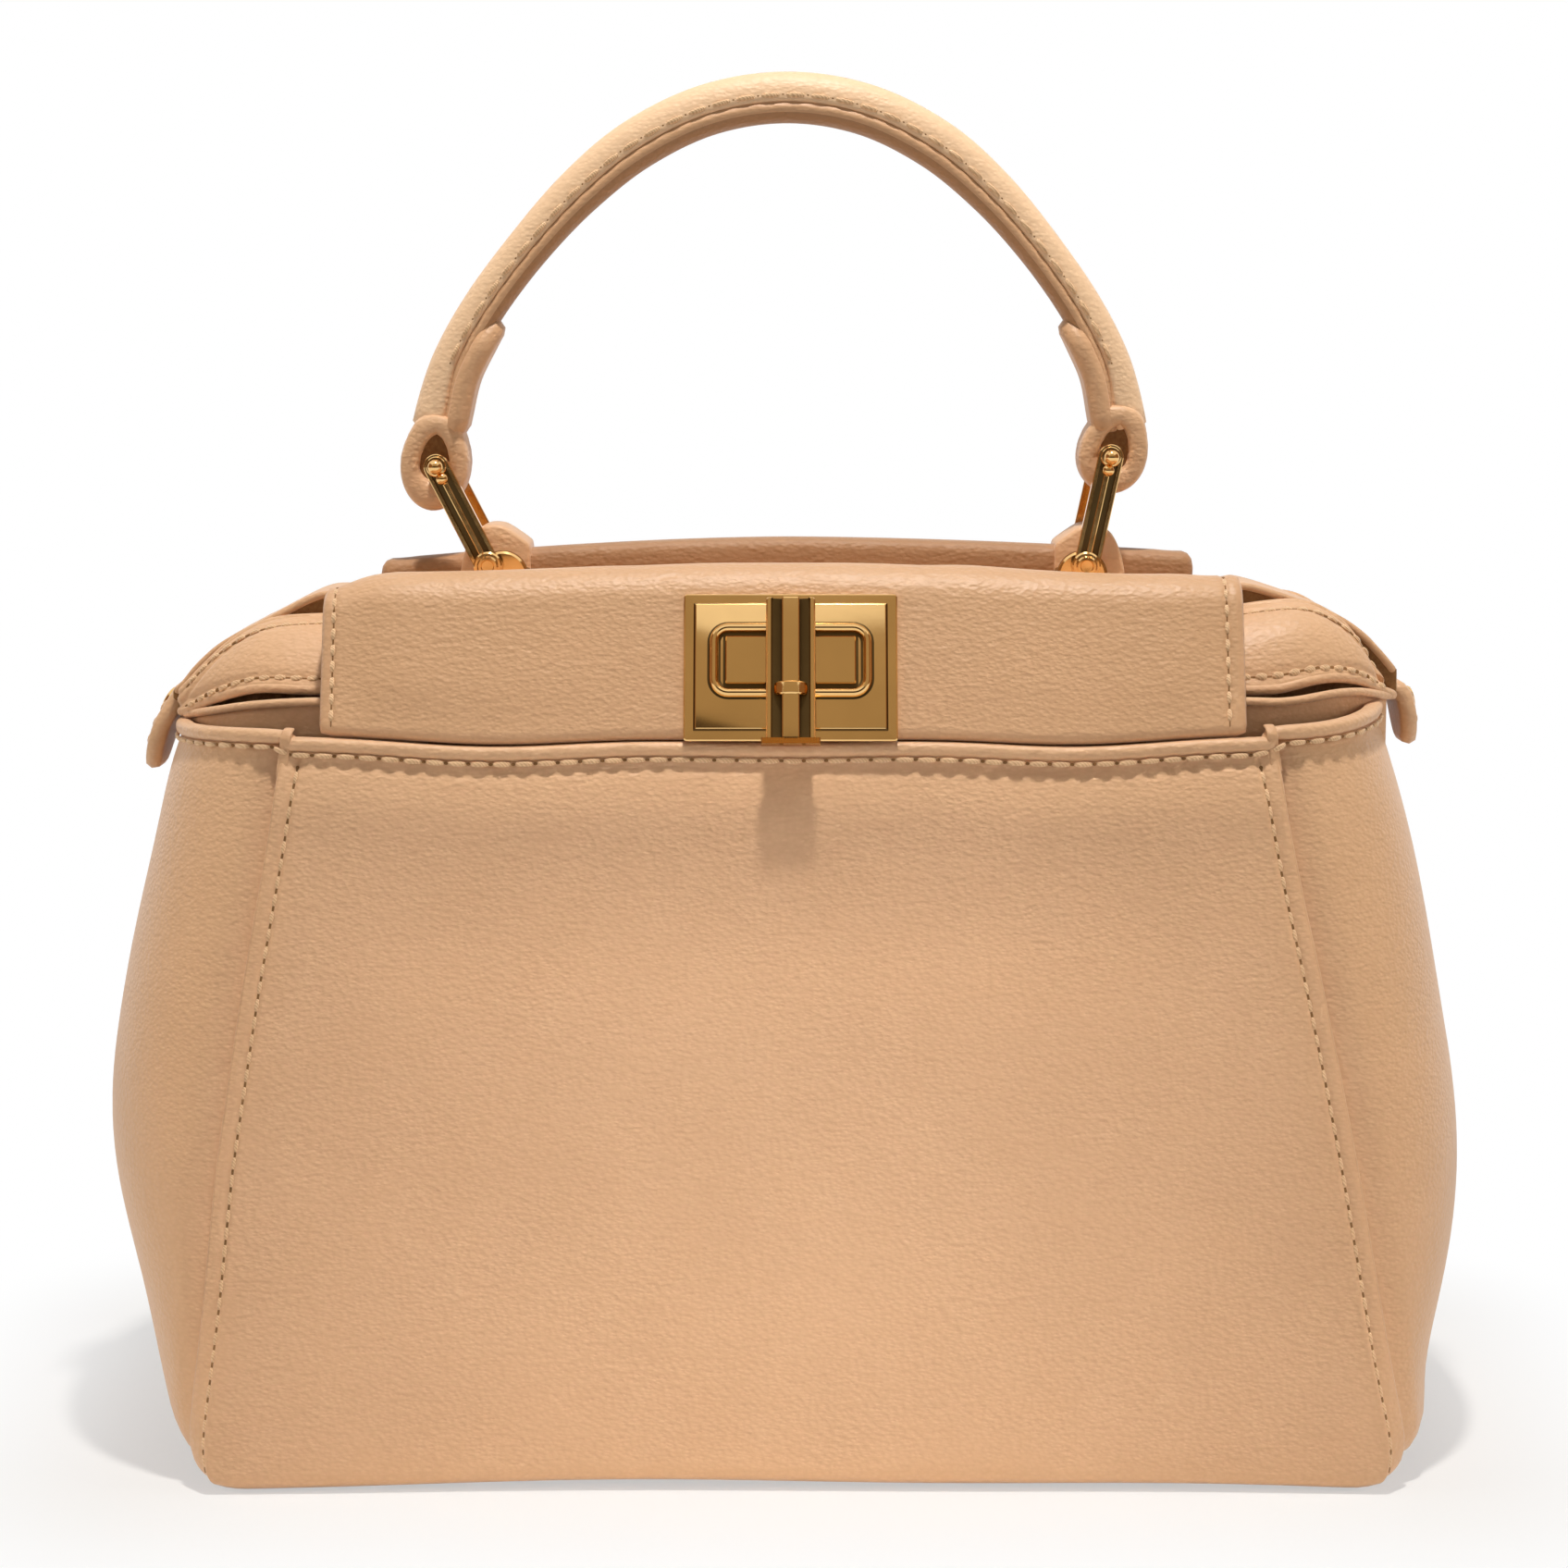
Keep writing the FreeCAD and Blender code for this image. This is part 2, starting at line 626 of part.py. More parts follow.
def rounded_rectangle(width, length, corner, z):
    """A rectangle with round corners, centred on the axis."""
    x = width / 2 - corner
    y = length / 2 - corner
    edges = []
    for quarter, (cx, cy) in enumerate(((x, y), (-x, y), (-x, -y), (x, -y))):
        edges.append(Part.makeCircle(corner, V(cx, cy, z), Z_AXIS, 90 * quarter, 90 * quarter + 90))
    corners = [(e.valueAt(e.FirstParameter), e.valueAt(e.LastParameter)) for e in edges]
    for i in range(4):
        edges.append(Part.makeLine(corners[i][1], corners[(i + 1) % 4][0]))
    return Part.Wire(Part.__sortEdges__(edges))


def rectangle(width, length, z):
    x, y = width / 2, length / 2
    corners = [V(-x, -y, z), V(x, -y, z), V(x, y, z), V(-x, y, z)]
    return Part.makePolygon(corners + [corners[0]])


def screw_places():
    x = BACKPLATE_WIDTH / 2 - SCREW_INSET
    y = BACKPLATE_LENGTH / 2 - SCREW_INSET
    return [V(sx * x, sy * y, 0) for sx in (-1, 1) for sy in (-1, 1)]


def screw_group():
    """The four screws that hold the plate to the flap, heads behind the backplate."""
    back = -FLAP_THICKNESS - BACKPLATE_THICKNESS
    screws = []
    for place in screw_places():
        shank = Part.makeCylinder(SCREW_RADIUS, SCREW_BITE - back, place + V(0, 0, back), Z_AXIS)
        foot = place + V(0, 0, back - SCREW_HEAD_HEIGHT)
        head = Part.makeCylinder(SCREW_HEAD_RADIUS, SCREW_HEAD_HEIGHT, foot, Z_AXIS)
        screws.append(joined([shank, head]))
    return Part.makeCompound(screws)


def lock_plate():
    """A bevelled plate with a raised ring and two square pads on its face."""
    rim = Part.Face(rectangle(PLATE_WIDTH, PLATE_LENGTH, 0)).extrude(V(0, 0, PLATE_RIM))
    wide = rectangle(PLATE_WIDTH, PLATE_LENGTH, PLATE_RIM)
    narrow = rectangle(PLATE_WIDTH - 2 * PLATE_BEVEL, PLATE_LENGTH - 2 * PLATE_BEVEL, PLATE_THICKNESS)
    bevel = Part.makeLoft([wide, narrow], True, True)
    outer = Part.Face(rounded_rectangle(RING_WIDTH, RING_LENGTH, RING_CORNER, PLATE_THICKNESS))
    hole = rounded_rectangle(
        RING_WIDTH - 2 * RING_BAND, RING_LENGTH - 2 * RING_BAND, RING_CORNER - RING_BAND, PLATE_THICKNESS
    )
    ring = outer.cut(Part.Face(hole)).extrude(V(0, 0, RING_HEIGHT))
    parts = [rim, bevel, ring]
    for side in (-1, 1):
        wide = rectangle(PAD_SIZE, PAD_SIZE, PLATE_THICKNESS)
        narrow = rectangle(PAD_SIZE - PAD_HEIGHT, PAD_SIZE - PAD_HEIGHT, PLATE_THICKNESS + PAD_HEIGHT)
        pad = Part.makeLoft([wide, narrow], True, True)
        pad.translate(V(side * PAD_OFFSET, 0, 0))
        parts.append(pad)
    plate = joined(parts)
    bore = Part.makeCylinder(POST_RADIUS + RUNNING_GAP, PLATE_THICKNESS, ORIGIN, Z_AXIS)
    return plate.cut(bore).cut(screw_group())


def toggle():
    """The turning bar: a flat foot with raised lips, a bevelled ridge along it and a band across the ridge."""
    half = TOGGLE_WIDTH / 2
    seat = TOGGLE_SEAT
    base_top = seat + TOGGLE_BASE
    lip_top = base_top + TOGGLE_LIP
    ridge_top = base_top + TOGGLE_RIDGE
    side = [
        (half, seat),
        (half, lip_top),
        (half - TOGGLE_LIP_WIDTH, lip_top),
        (half - TOGGLE_LIP_WIDTH, base_top),
        (TOGGLE_FOOT / 2, base_top),
        (TOGGLE_CROWN / 2, ridge_top),
    ]
    outline = side + [(-x, z) for x, z in reversed(side)]
    points = [V(x, -TOGGLE_DOWN, z) for x, z in outline]
    bar = prism(points, V(0, TOGGLE_UP + TOGGLE_DOWN, 0))
    band_half = TOGGLE_FOOT / 2 + CLEARANCE
    band_y = -CROSS_DROP - CROSS_BAND / 2
    band = box(-band_half, band_half, band_y, band_y + CROSS_BAND, base_top, ridge_top + CLEARANCE)
    return joined([bar, band])


def post():
    """The toggle's shaft through plate, flap and backplate, with a head behind them."""
    back = -FLAP_THICKNESS - BACKPLATE_THICKNESS - CLEARANCE
    shaft = Part.makeCylinder(POST_RADIUS, TOGGLE_SEAT - back, V(0, 0, back), Z_AXIS)
    head = Part.makeCylinder(POST_HEAD_RADIUS, POST_HEAD_HEIGHT, V(0, 0, back - POST_HEAD_HEIGHT), Z_AXIS)
    return joined([shaft, head])


def locks(pieces):
    back = -FLAP_THICKNESS - BACKPLATE_THICKNESS
    sheet = Part.Face(rectangle(BACKPLATE_WIDTH, BACKPLATE_LENGTH, back)).extrude(V(0, 0, BACKPLATE_THICKNESS))
    bore = Part.makeCylinder(POST_RADIUS + RUNNING_GAP, BACKPLATE_THICKNESS, V(0, 0, back), Z_AXIS)
    made = {
        "lock_plate": lock_plate(),
        "lock_backplate": sheet.cut(bore).cut(screw_group()),
        "lock_screws": screw_group(),
        "toggle": toggle(),
        "toggle_post": post(),
    }
    for name, shape in made.items():
        pieces["front_" + name] = on_flap(shape)
        pieces["back_" + name] = half_turn(pieces["front_" + name])


# Lugs on the spine, links and handle


def lug_pivot(side):
    x = LUG_SPACING / 2
    return V(side * x, 0, spine_height(x) + LUG_PIVOT_RISE)


def lean(side):
    return LEFT_LEAN if side < 0 else RIGHT_LEAN


def upper_pin(side):
    """The centre of the pin through the handle's loop."""
    angle = math.radians(lean(side))
    return lug_pivot(side) + V(LINK_LENGTH * math.sin(angle), 0, LINK_LENGTH * math.cos(angle))


def lugs(pieces):
    """A metal saddle astride the spine with a round cheek each side, and the leather tab over it."""
    spine_bar = along([spine_line()], SPINE_RADIUS)
    for side, word in ((-1, "left_"), (1, "right_")):
        pivot = lug_pivot(side)
        floor = pivot.z - LUG_SKIRT
        above = box(-FAR, FAR, -FAR, FAR, floor, FAR)
        half = LUG_DEPTH / 2
        drum = Part.makeCylinder(LUG_RADIUS, LUG_DEPTH, pivot - V(0, half, 0), Y_AXIS)
        saddle = drum.common(above).cut(spine_bar)
        for y in (-half, half - LINK_SCREW_BITE):
            mouth = pivot + V(0, y, 0)
            saddle = saddle.cut(Part.makeCylinder(PIN_RADIUS + RUNNING_GAP, LINK_SCREW_BITE, mouth, Y_AXIS))
        pieces[word + "lug_saddle"] = saddle
        tab_depth = LUG_DEPTH - 2 * CLEARANCE
        cover = Part.makeCylinder(LUG_RADIUS + TAB_LEATHER, tab_depth, pivot - V(0, tab_depth / 2, 0), Y_AXIS)
        pieces[word + "lug_tab"] = cover.common(above).cut(drum).cut(spine_bar)


def links(pieces):
    """Two plates each side, on a through pin above and a shoulder screw each below."""
    eye_low = Part.makeCylinder(LINK_EYE_RADIUS, LINK_THICKNESS, ORIGIN, Y_AXIS)
    eye_high = eye_low.copy()
    eye_high.translate(V(0, 0, LINK_LENGTH))
    half = LINK_WIDTH / 2
    bar = box(-half, half, 0, LINK_THICKNESS, 0, LINK_LENGTH)
    plate = joined([eye_low, bar, eye_high])
    for z in (0, LINK_LENGTH):
        plate = plate.cut(Part.makeCylinder(PIN_RADIUS, LINK_THICKNESS, V(0, 0, z), Y_AXIS))
    channel_half = LINK_CHANNEL_WIDTH / 2
    channel_low = LINK_CHANNEL_END
    channel = box(
        -channel_half,
        channel_half,
        LINK_THICKNESS - LINK_CHANNEL_DEPTH,
        LINK_THICKNESS,
        channel_low,
        LINK_LENGTH - channel_low,
    )
    plate = plate.cut(channel)
    plate.translate(V(0, LINK_INNER_Y, 0))
    plates = Part.makeCompound([plate, half_turn(plate)])

    pin = [Part.makeCylinder(PIN_RADIUS, 2 * LINK_OUTER_Y, V(0, -LINK_OUTER_Y, LINK_LENGTH), Y_AXIS)]
    screws = []
    for way in (-1, 1):
        out = V(0, way, 0)
        collar_at = V(0, way * LINK_OUTER_Y, LINK_LENGTH)
        pin.append(Part.makeCylinder(PIN_COLLAR_RADIUS, PIN_COLLAR_HEIGHT, collar_at, out))
        pin.append(Part.makeSphere(PIN_BALL_RADIUS, collar_at + out * PIN_COLLAR_HEIGHT))
        bite = LUG_DEPTH / 2 - LINK_SCREW_BITE
        shank = Part.makeCylinder(PIN_RADIUS, LINK_OUTER_Y - bite - RUNNING_GAP, out * (bite + RUNNING_GAP), out)
        head = Part.makeCylinder(LINK_SCREW_HEAD_RADIUS, LINK_SCREW_HEAD, out * LINK_OUTER_Y, out)
        screws.append(joined([shank, head]))
    made = {"link_plates": plates, "upper_pin": joined(pin), "lower_screws": Part.makeCompound(screws)}
    for side, word in ((-1, "left_"), (1, "right_")):
        for name, shape in made.items():
            placed = turned(shape, ORIGIN, Y_AXIS, lean(side))
            placed.translate(lug_pivot(side))
            pieces[word + name] = placed


# The handle, in its own frame: x across, z up, its pins at equal distances on z = 0


def handle_half_span():
    return (upper_pin(1) - upper_pin(-1)).Length / 2


def handle_end():
    """The centre of the handle's right end face, and the direction in which the handle leaves it."""
    angle = math.radians(90 - HANDLE_END_ANGLE)
    up = V(-math.sin(angle), 0, math.cos(angle))
    return V(handle_half_span(), 0, 0) + up * LOOP_REACH, up


def side_arc_centre():
    """The centre of the right side's bend."""
    end, up = handle_end()
    inward = V(-up.z, 0, up.x)
    return end + inward * HANDLE_SIDE_RADIUS


def handle_path():
    end, _ = handle_end()
    centre = side_arc_centre()

    def on_side(degrees):
        angle = math.radians(degrees)
        return centre + V(math.sin(angle), 0, math.cos(angle)) * HANDLE_SIDE_RADIUS

    knee = on_side(HANDLE_TOP_ANGLE)
    middle = on_side((HANDLE_TOP_ANGLE + HANDLE_END_ANGLE) / 2)
    slope = math.radians(HANDLE_TOP_ANGLE)
    top_radius = knee.x / math.sin(slope)
    crown = V(0, 0, knee.z + top_radius * (1 - math.cos(slope)))

    def flipped(p):
        return V(-p.x, p.y, p.z)

    return [
        Part.Arc(flipped(end), flipped(middle), flipped(knee)).toShape(),
        Part.Arc(flipped(knee), crown, knee).toShape(),
        Part.Arc(knee, middle, end).toShape(),
    ]


def placed_handle(shape):
    """Carries a handle piece from the handle's own frame to its place between the upper pins."""
    left = upper_pin(-1)
    right = upper_pin(1)
    span = right - left
    tilt = -math.degrees(math.atan2(span.z, span.x))
    placed = turned(shape, ORIGIN, Y_AXIS, tilt)
    placed.translate((left + right) * 0.5)
    return placed


def handle(pieces):
    path = handle_path()
    core = along(path, HANDLE_CORE_RADIUS)
    cover = along(path, HANDLE_RADIUS).cut(core)
    half = LOOP_DEPTH / 2
    drum = Part.makeCylinder(LOOP_RADIUS, LOOP_DEPTH, V(0, -half, 0), Y_AXIS)
    neck = box(-LOOP_NECK / 2, LOOP_NECK / 2, -half, half, 0, LOOP_REACH)
    eye = Part.makeCylinder(PIN_RADIUS + LOOP_PLAY, LOOP_DEPTH, V(0, -half, 0), Y_AXIS)
    loop = joined([drum, neck]).cut(eye)
    loop = turned(loop, ORIGIN, Y_AXIS, HANDLE_END_ANGLE - 90)
    loop.translate(V(handle_half_span(), 0, 0))
    outer = HANDLE_SIDE_RADIUS - HANDLE_RADIUS - CLEARANCE / 2
    start = 90 - HANDLE_END_ANGLE
    sweep = math.degrees(TAIL_LENGTH / HANDLE_SIDE_RADIUS)
    tail = ring_sector(side_arc_centre(), outer - TAIL_THICKNESS, outer, start, start + sweep, TAIL_DEPTH)
    pieces["handle_core"] = placed_handle(core)
    pieces["handle_cover"] = placed_handle(cover)
    pieces["right_handle_loop"] = placed_handle(loop)
    pieces["left_handle_loop"] = placed_handle(mirrored_x(loop))
    pieces["right_loop_tail"] = placed_handle(tail)
    pieces["left_loop_tail"] = placed_handle(mirrored_x(tail))


def build():
    pieces = {}
    for make in (
        body_walls,
        base,
        top_bindings,
        linings,
        spine,
        divider,
        wings,
        side_straps,
        flaps,
        locks,
        lugs,
        links,
        handle,
    ):
        make(pieces)
    return pieces


if __name__ == "__main__":
    os.makedirs("parts", exist_ok=True)
    for name, shape in build().items():
        shape.exportStep("parts/" + name + ".step")
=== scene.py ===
import json
import math

import bpy
import numpy as np
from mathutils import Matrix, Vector


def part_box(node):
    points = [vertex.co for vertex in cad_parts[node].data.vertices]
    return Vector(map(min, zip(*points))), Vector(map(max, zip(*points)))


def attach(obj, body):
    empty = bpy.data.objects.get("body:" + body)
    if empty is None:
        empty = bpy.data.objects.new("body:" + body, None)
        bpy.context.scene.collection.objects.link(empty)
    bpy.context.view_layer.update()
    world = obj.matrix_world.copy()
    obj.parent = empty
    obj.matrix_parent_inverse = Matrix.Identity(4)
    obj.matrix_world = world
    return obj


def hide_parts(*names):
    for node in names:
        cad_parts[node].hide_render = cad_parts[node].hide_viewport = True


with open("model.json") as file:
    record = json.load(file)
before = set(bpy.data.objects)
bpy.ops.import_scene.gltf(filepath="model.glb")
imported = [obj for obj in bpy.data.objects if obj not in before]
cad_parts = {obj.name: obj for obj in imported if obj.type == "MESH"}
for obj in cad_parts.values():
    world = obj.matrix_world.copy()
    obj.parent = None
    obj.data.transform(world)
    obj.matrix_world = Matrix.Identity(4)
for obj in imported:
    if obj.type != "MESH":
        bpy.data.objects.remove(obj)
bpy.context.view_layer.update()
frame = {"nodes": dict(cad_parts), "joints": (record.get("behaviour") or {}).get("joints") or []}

# Lengths here are millimetres in the frame's own axes, and meshes are made in metres
MM = 0.001
PIVOT = {joint["name"]: np.array(joint["pos_m"]) / MM for joint in frame["joints"]}
ACROSS, DEPTH, UP = np.eye(3)
MIRROR_Y = np.array([1.0, -1, 1])
FACES = (("front", 1), ("back", -1))
SIDES = (("left", -1), ("right", 1))
# Angle in degrees between faces above which an edge shows as sharp, for each slot
CRISP = {"leather": 70, "leather_edge": 70, "lining": 70, "cord": 40, "gold": 22}
PLAIN_CRISP, LUG_CRISP, LOOP_CRISP = 40, 50, 60


# Helpers for points and lines
def unit(v):
    return v / np.maximum(np.linalg.norm(v, axis=-1, keepdims=True), 1e-9)


def near(distance, width):
    """One where the distance is zero, fading to nothing over the width."""
    return np.exp(-((distance / width) ** 2))


def ease(value, low, high):
    """Zero below low, one above high and smooth between."""
    share = np.clip((value - low) / (high - low), 0, 1)
    return share * share * (3 - 2 * share)


def by_side(side, left, right):
    return np.where(np.asarray(side) < 0, left, right)


def spots(x, y, z):
    """Points from coordinates that are spread over each other."""
    return np.stack(np.broadcast_arrays(x, y, z), -1)


def circle(count):
    """Angles of even steps round a circle."""
    return np.arange(count) * 2 * math.pi / count


def run_along(line):
    """Distance of each point of a line from its start."""
    return np.insert(np.cumsum(np.linalg.norm(np.diff(line, axis=0), axis=1)), 0, 0)


def read_at(places, run, line):
    """A line's values at other distances than its own."""
    return np.stack([np.interp(places, run, part) for part in line.T], -1)


def evenly(line, count):
    """The same line at evenly spaced points."""
    run = run_along(line)
    return read_at(np.linspace(0, run[-1], count), run, line)


def curve(points, count):
    """A smooth line through a few points, with evenly spaced steps between neighbours."""
    points = np.array(points, float)
    padded = np.concatenate([[2 * points[0] - points[1]], points, [2 * points[-1] - points[-2]]])
    run = np.linspace(0, len(points) - 1, count)
    i = np.minimum(run.astype(int), len(points) - 2)
    t = (run - i)[:, None]
    a, b, c, d = (padded[i + k] for k in range(4))
    return 0.5 * (2 * b + (c - a) * t + (2 * a - 5 * b + 4 * c - d) * t**2 + (3 * b - a - 3 * c + d) * t**3)


def cad_corners(node_name):
    return (np.array(corner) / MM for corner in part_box(node_name))


def put(name, data):
    """Adds an object to the scene."""
    made = bpy.data.objects.new(name, data)
    bpy.context.scene.collection.objects.link(made)
    return made


# Shapes
class Shape:
    """Points in millimetres and faces, with the name of the look of each face."""

    def __init__(self, points=(), faces=(), look=""):
        self.points = np.reshape(np.array(points, float), (-1, 3))
        self.faces = [tuple(int(i) for i in face) for face in faces]
        self.looks = [look] * len(faces)

    def join(self, other):
        start = len(self.points)
        self.points = np.concatenate([self.points, other.points])
        self.faces += [tuple(start + i for i in face) for face in other.faces]
        self.looks += other.looks
        return self

    def placed(self, origin, across=ACROSS, up=DEPTH, out=UP):
        """A copy in another frame: local x, y and z run along across, up and out."""
        axes = np.array([across, up, out], float)
        turn = -1 if np.linalg.det(axes) < 0 else 1
        copy = Shape(self.points @ axes + origin)
        copy.faces = [face[::turn] for face in self.faces]
        copy.looks = list(self.looks)
        return copy

    def mirrored(self, x=1, y=1):
        return self.placed(np.zeros(3), *np.diag((x, y, 1)))

    def build(self, name, body, slot, node_name="", crisp=0):
        """Makes the object, which rides on a body and stands for the named CAD node."""
        mesh = bpy.data.meshes.new(name)
        mesh.from_pydata((self.points * MM).tolist(), [], self.faces)
        names = sorted(set(self.looks))
        for look in names:
            mesh.materials.append(LOOKS[look])
        mesh.polygons.foreach_set("material_index", [names.index(look) for look in self.looks])
        mesh.polygons.foreach_set("use_smooth", [True] * len(self.faces))
        mesh.set_sharp_from_angle(angle=math.radians(crisp or CRISP[slot]))
        piece = put(name, mesh)
        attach(piece, body)
        if node_name:
            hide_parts(node_name)
        return piece


def grid_faces(rows, cols, closed=False):
    """Quads of a grid of points; a closed grid joins its last column to its first."""
    last = cols if closed else cols - 1
    corners = ((r * cols, c, (c + 1) % cols) for r in range(rows - 1) for c in range(last))
    return [(start + a, start + b, start + cols + b, start + cols + a) for start, a, b in corners]


def grid_normals(grid):
    return unit(np.cross(np.gradient(grid, axis=1), np.gradient(grid, axis=0)))


EDGE_ANGLES = np.radians((40, 90, 140))
DOME_ANGLES = np.radians((25, 50, 72))


def sheet(grid, thickness, look, inner=None, edge=None):
    """A closed skin whose outer face is the grid, with half-round edges round to the inner face."""
    rows, cols = grid.shape[:2]
    count = rows * cols
    normals = grid_normals(grid)
    index = np.arange(count).reshape(rows, cols)
    loop = np.concatenate([index[0], index[1:, -1], index[-1, -2::-1], index[-2:0:-1, 0]])
    rim, facing = (part.reshape(-1, 3)[loop] for part in (grid, normals))
    outward = unit(np.cross(np.roll(rim, -1, 0) - np.roll(rim, 1, 0), facing))
    half = thickness / 2
    middle = rim - facing * thickness / 2
    rings = [middle + (facing * math.cos(a) + outward * math.sin(a)) * half for a in EDGE_ANGLES]
    around = len(loop)
    chain = np.concatenate([loop, 2 * count + np.arange(3 * around), loop + count])
    edges = chain[np.array(grid_faces(5, around, True))[:, [0, 3, 2, 1]]]
    quads = grid_faces(rows, cols)
    back = [tuple(i + count for i in face[::-1]) for face in quads]
    under = grid - normals * thickness
    points = np.concatenate([grid.reshape(-1, 3), under.reshape(-1, 3), *rings])
    shape = Shape(points, [*quads, *back, *edges], look)
    shape.looks[len(quads) :] = [inner or look] * len(back) + [edge or look] * len(edges)
    return shape


def stacked(rings, look):
    """A solid through a row of closed rings of equal length, flat at both ends."""
    count = len(rings[0])
    total = len(rings)
    faces = grid_faces(total, count, True)
    faces.append(tuple(range(count))[::-1])
    faces.append(tuple((total - 1) * count + i for i in range(count)))
    return Shape(np.concatenate(rings), faces, look)


def tube(rings, look):
    """A band through a row of closed rings, the last one joined to the first."""
    rings = [*rings, rings[0]]
    return Shape(np.concatenate(rings), grid_faces(len(rings), len(rings[0]), True), look)


def sweep(path, section, up, look, cap=0, closed=False):
    """Moves a counterclockwise section of (side, up) pairs along a path, with domed ends if cap is given."""
    around = np.roll(path, -1, 0) - np.roll(path, 1, 0)
    tangent = unit(around if closed else np.gradient(path, axis=0))
    side = unit(np.cross(np.broadcast_to(up, path.shape), tangent))
    rise = np.cross(tangent, side)
    section = np.broadcast_to(section, (len(path), *np.shape(section)[-2:]))
    rings = list(path[:, None] + section[..., :1] * side[:, None] + section[..., 1:] * rise[:, None])

    def dome(ring, way):
        middle = ring.mean(0)
        return [middle + (ring - middle) * math.cos(a) ** 0.7 + way * cap * math.sin(a) for a in DOME_ANGLES]

    if closed:
        return tube(rings, look)
    if cap:
        rings = dome(rings[0], -tangent[0])[::-1] + rings + dome(rings[-1], tangent[-1])
    return stacked(rings, look)


def turned(profile, look, count=32):
    """A solid of revolution about local z, from (radius, height) pairs."""
    angle = circle(count)
    ring = spots(np.cos(angle), np.sin(angle), 0)
    return stacked([ring * radius + UP * height for radius, height in profile], look)


def rounded_box(width, height, corner, steps=6):
    """A counterclockwise outline in the plane z = 0, centred on the origin."""
    points = []
    for turn, (x, y) in enumerate(((1, 1), (-1, 1), (-1, -1), (1, -1))):
        angle = np.radians(np.linspace(0, 90, steps)) + turn * math.pi / 2
        middle = (x * (width / 2 - corner), y * (height / 2 - corner), 0)
        points.append(middle + corner * spots(np.cos(angle), np.sin(angle), 0))
    return np.concatenate(points)


def rounded_section(half_width, half_height, power=2.5, count=20):
    x, y = np.cos(circle(count)), np.sin(circle(count))
    x, y = (np.sign(part) * np.abs(part) ** (2 / power) for part in (x, y))
    return np.stack([half_width * x, half_height * y], -1)


def layered(outline, layers, look):
    """A plate of rings, each an outline pulled in by an inset and raised to a height."""
    return stacked([outline(inset) + UP * height for inset, height in layers], look)


# A stitch from its middle to its end, as (share of its length, thickness, height)
STITCH_HALF = [(0.15, 1, 0.8), (0.4, 0.8, 0.1), (0.5, 0.25, -0.7)]
STITCH = [(-along, size, lift) for along, size, lift in STITCH_HALF[::-1]] + STITCH_HALF
STITCH_FLAT, HOLE_LONG = 0.7, 1.35


def stitches(path, normals, pitch, width=0.9, fill=0.74, rise=0.22, hole=0.46):
    """A row of thread stitches between needle holes, along a line on a surface."""
    run = run_along(path)
    places = np.linspace(0, run[-1], max(int(round(run[-1] / pitch)), 2) + 1)
    knots, facing = (read_at(places, run, line) for line in (path, normals))
    angle = circle(8)
    shape = Shape()
    for start, end, normal in zip(knots, knots[1:], unit(facing[:-1] + facing[1:])):
        tangent = unit(end - start)
        length = np.linalg.norm(end - start) * fill
        side = np.cross(normal, tangent)
        ring = np.outer(np.cos(angle), side) + np.outer(np.sin(angle), normal) * STITCH_FLAT
        middle = (start + end) / 2
        rings = [
            middle + tangent * along * length + normal * lift * rise + ring * width / 2 * size
            for along, size, lift in STITCH
        ]
        shape.join(stacked(rings, "thread"))
    # Each needle hole is a small pit coloured dark as painted shade
    pit = turned([(0.15, -0.2), (hole, 0), (hole * 0.8, 0.05), (0.08, 0.06)], "hole", 8)
    for place, normal, tangent in zip(knots, unit(facing), unit(np.gradient(knots, axis=0))):
        shape.join(pit.placed(place, tangent * HOLE_LONG, np.cross(normal, tangent), normal))
    return shape


def seam_rows(grid, span, off, across, pitch, **thread):
    """Stitches down the two columns of a grid that lie nearest to its seams, one each side."""
    normals = grid_normals(grid)
    rows = Shape()
    for side in (-1, 1):
        place = np.argmin(np.abs(off) + 9 * (side * across < 0))
        rows.join(stitches(grid[span, place], normals[span, place], pitch, **thread))
    return rows


# Looks
def linear(red, green, blue):
    """A colour given in display values from 0 to 255, as the shader takes it."""
    share = np.array([red, green, blue]) / 255
    return (*np.where(share <= 0.04045, share / 12.92, ((share + 0.055) / 1.055) ** 2.4), 1)


def tinted(tone, factor):
    return (*np.minimum(np.array(tone[:3]) * factor, 1), 1)


def empty_tree(owner):
    """The cleared node tree of a material or a world."""
    owner.use_nodes = True
    owner.node_tree.nodes.clear()
    return owner.node_tree


def node(tree, kind, inputs=(), out=0, **settings):
    """Adds a shader node, sets its options, links or sets its inputs and hands back one output."""
    made = tree.nodes.new("ShaderNode" + kind)
    for name, value in settings.items():
        setattr(made, name, value)
    for socket, value in dict(inputs).items():
        if isinstance(value, bpy.types.NodeSocket):
            tree.links.new(value, made.inputs[socket])
        else:
            made.inputs[socket].default_value = value
    return made.outputs[out] if len(made.outputs) else None


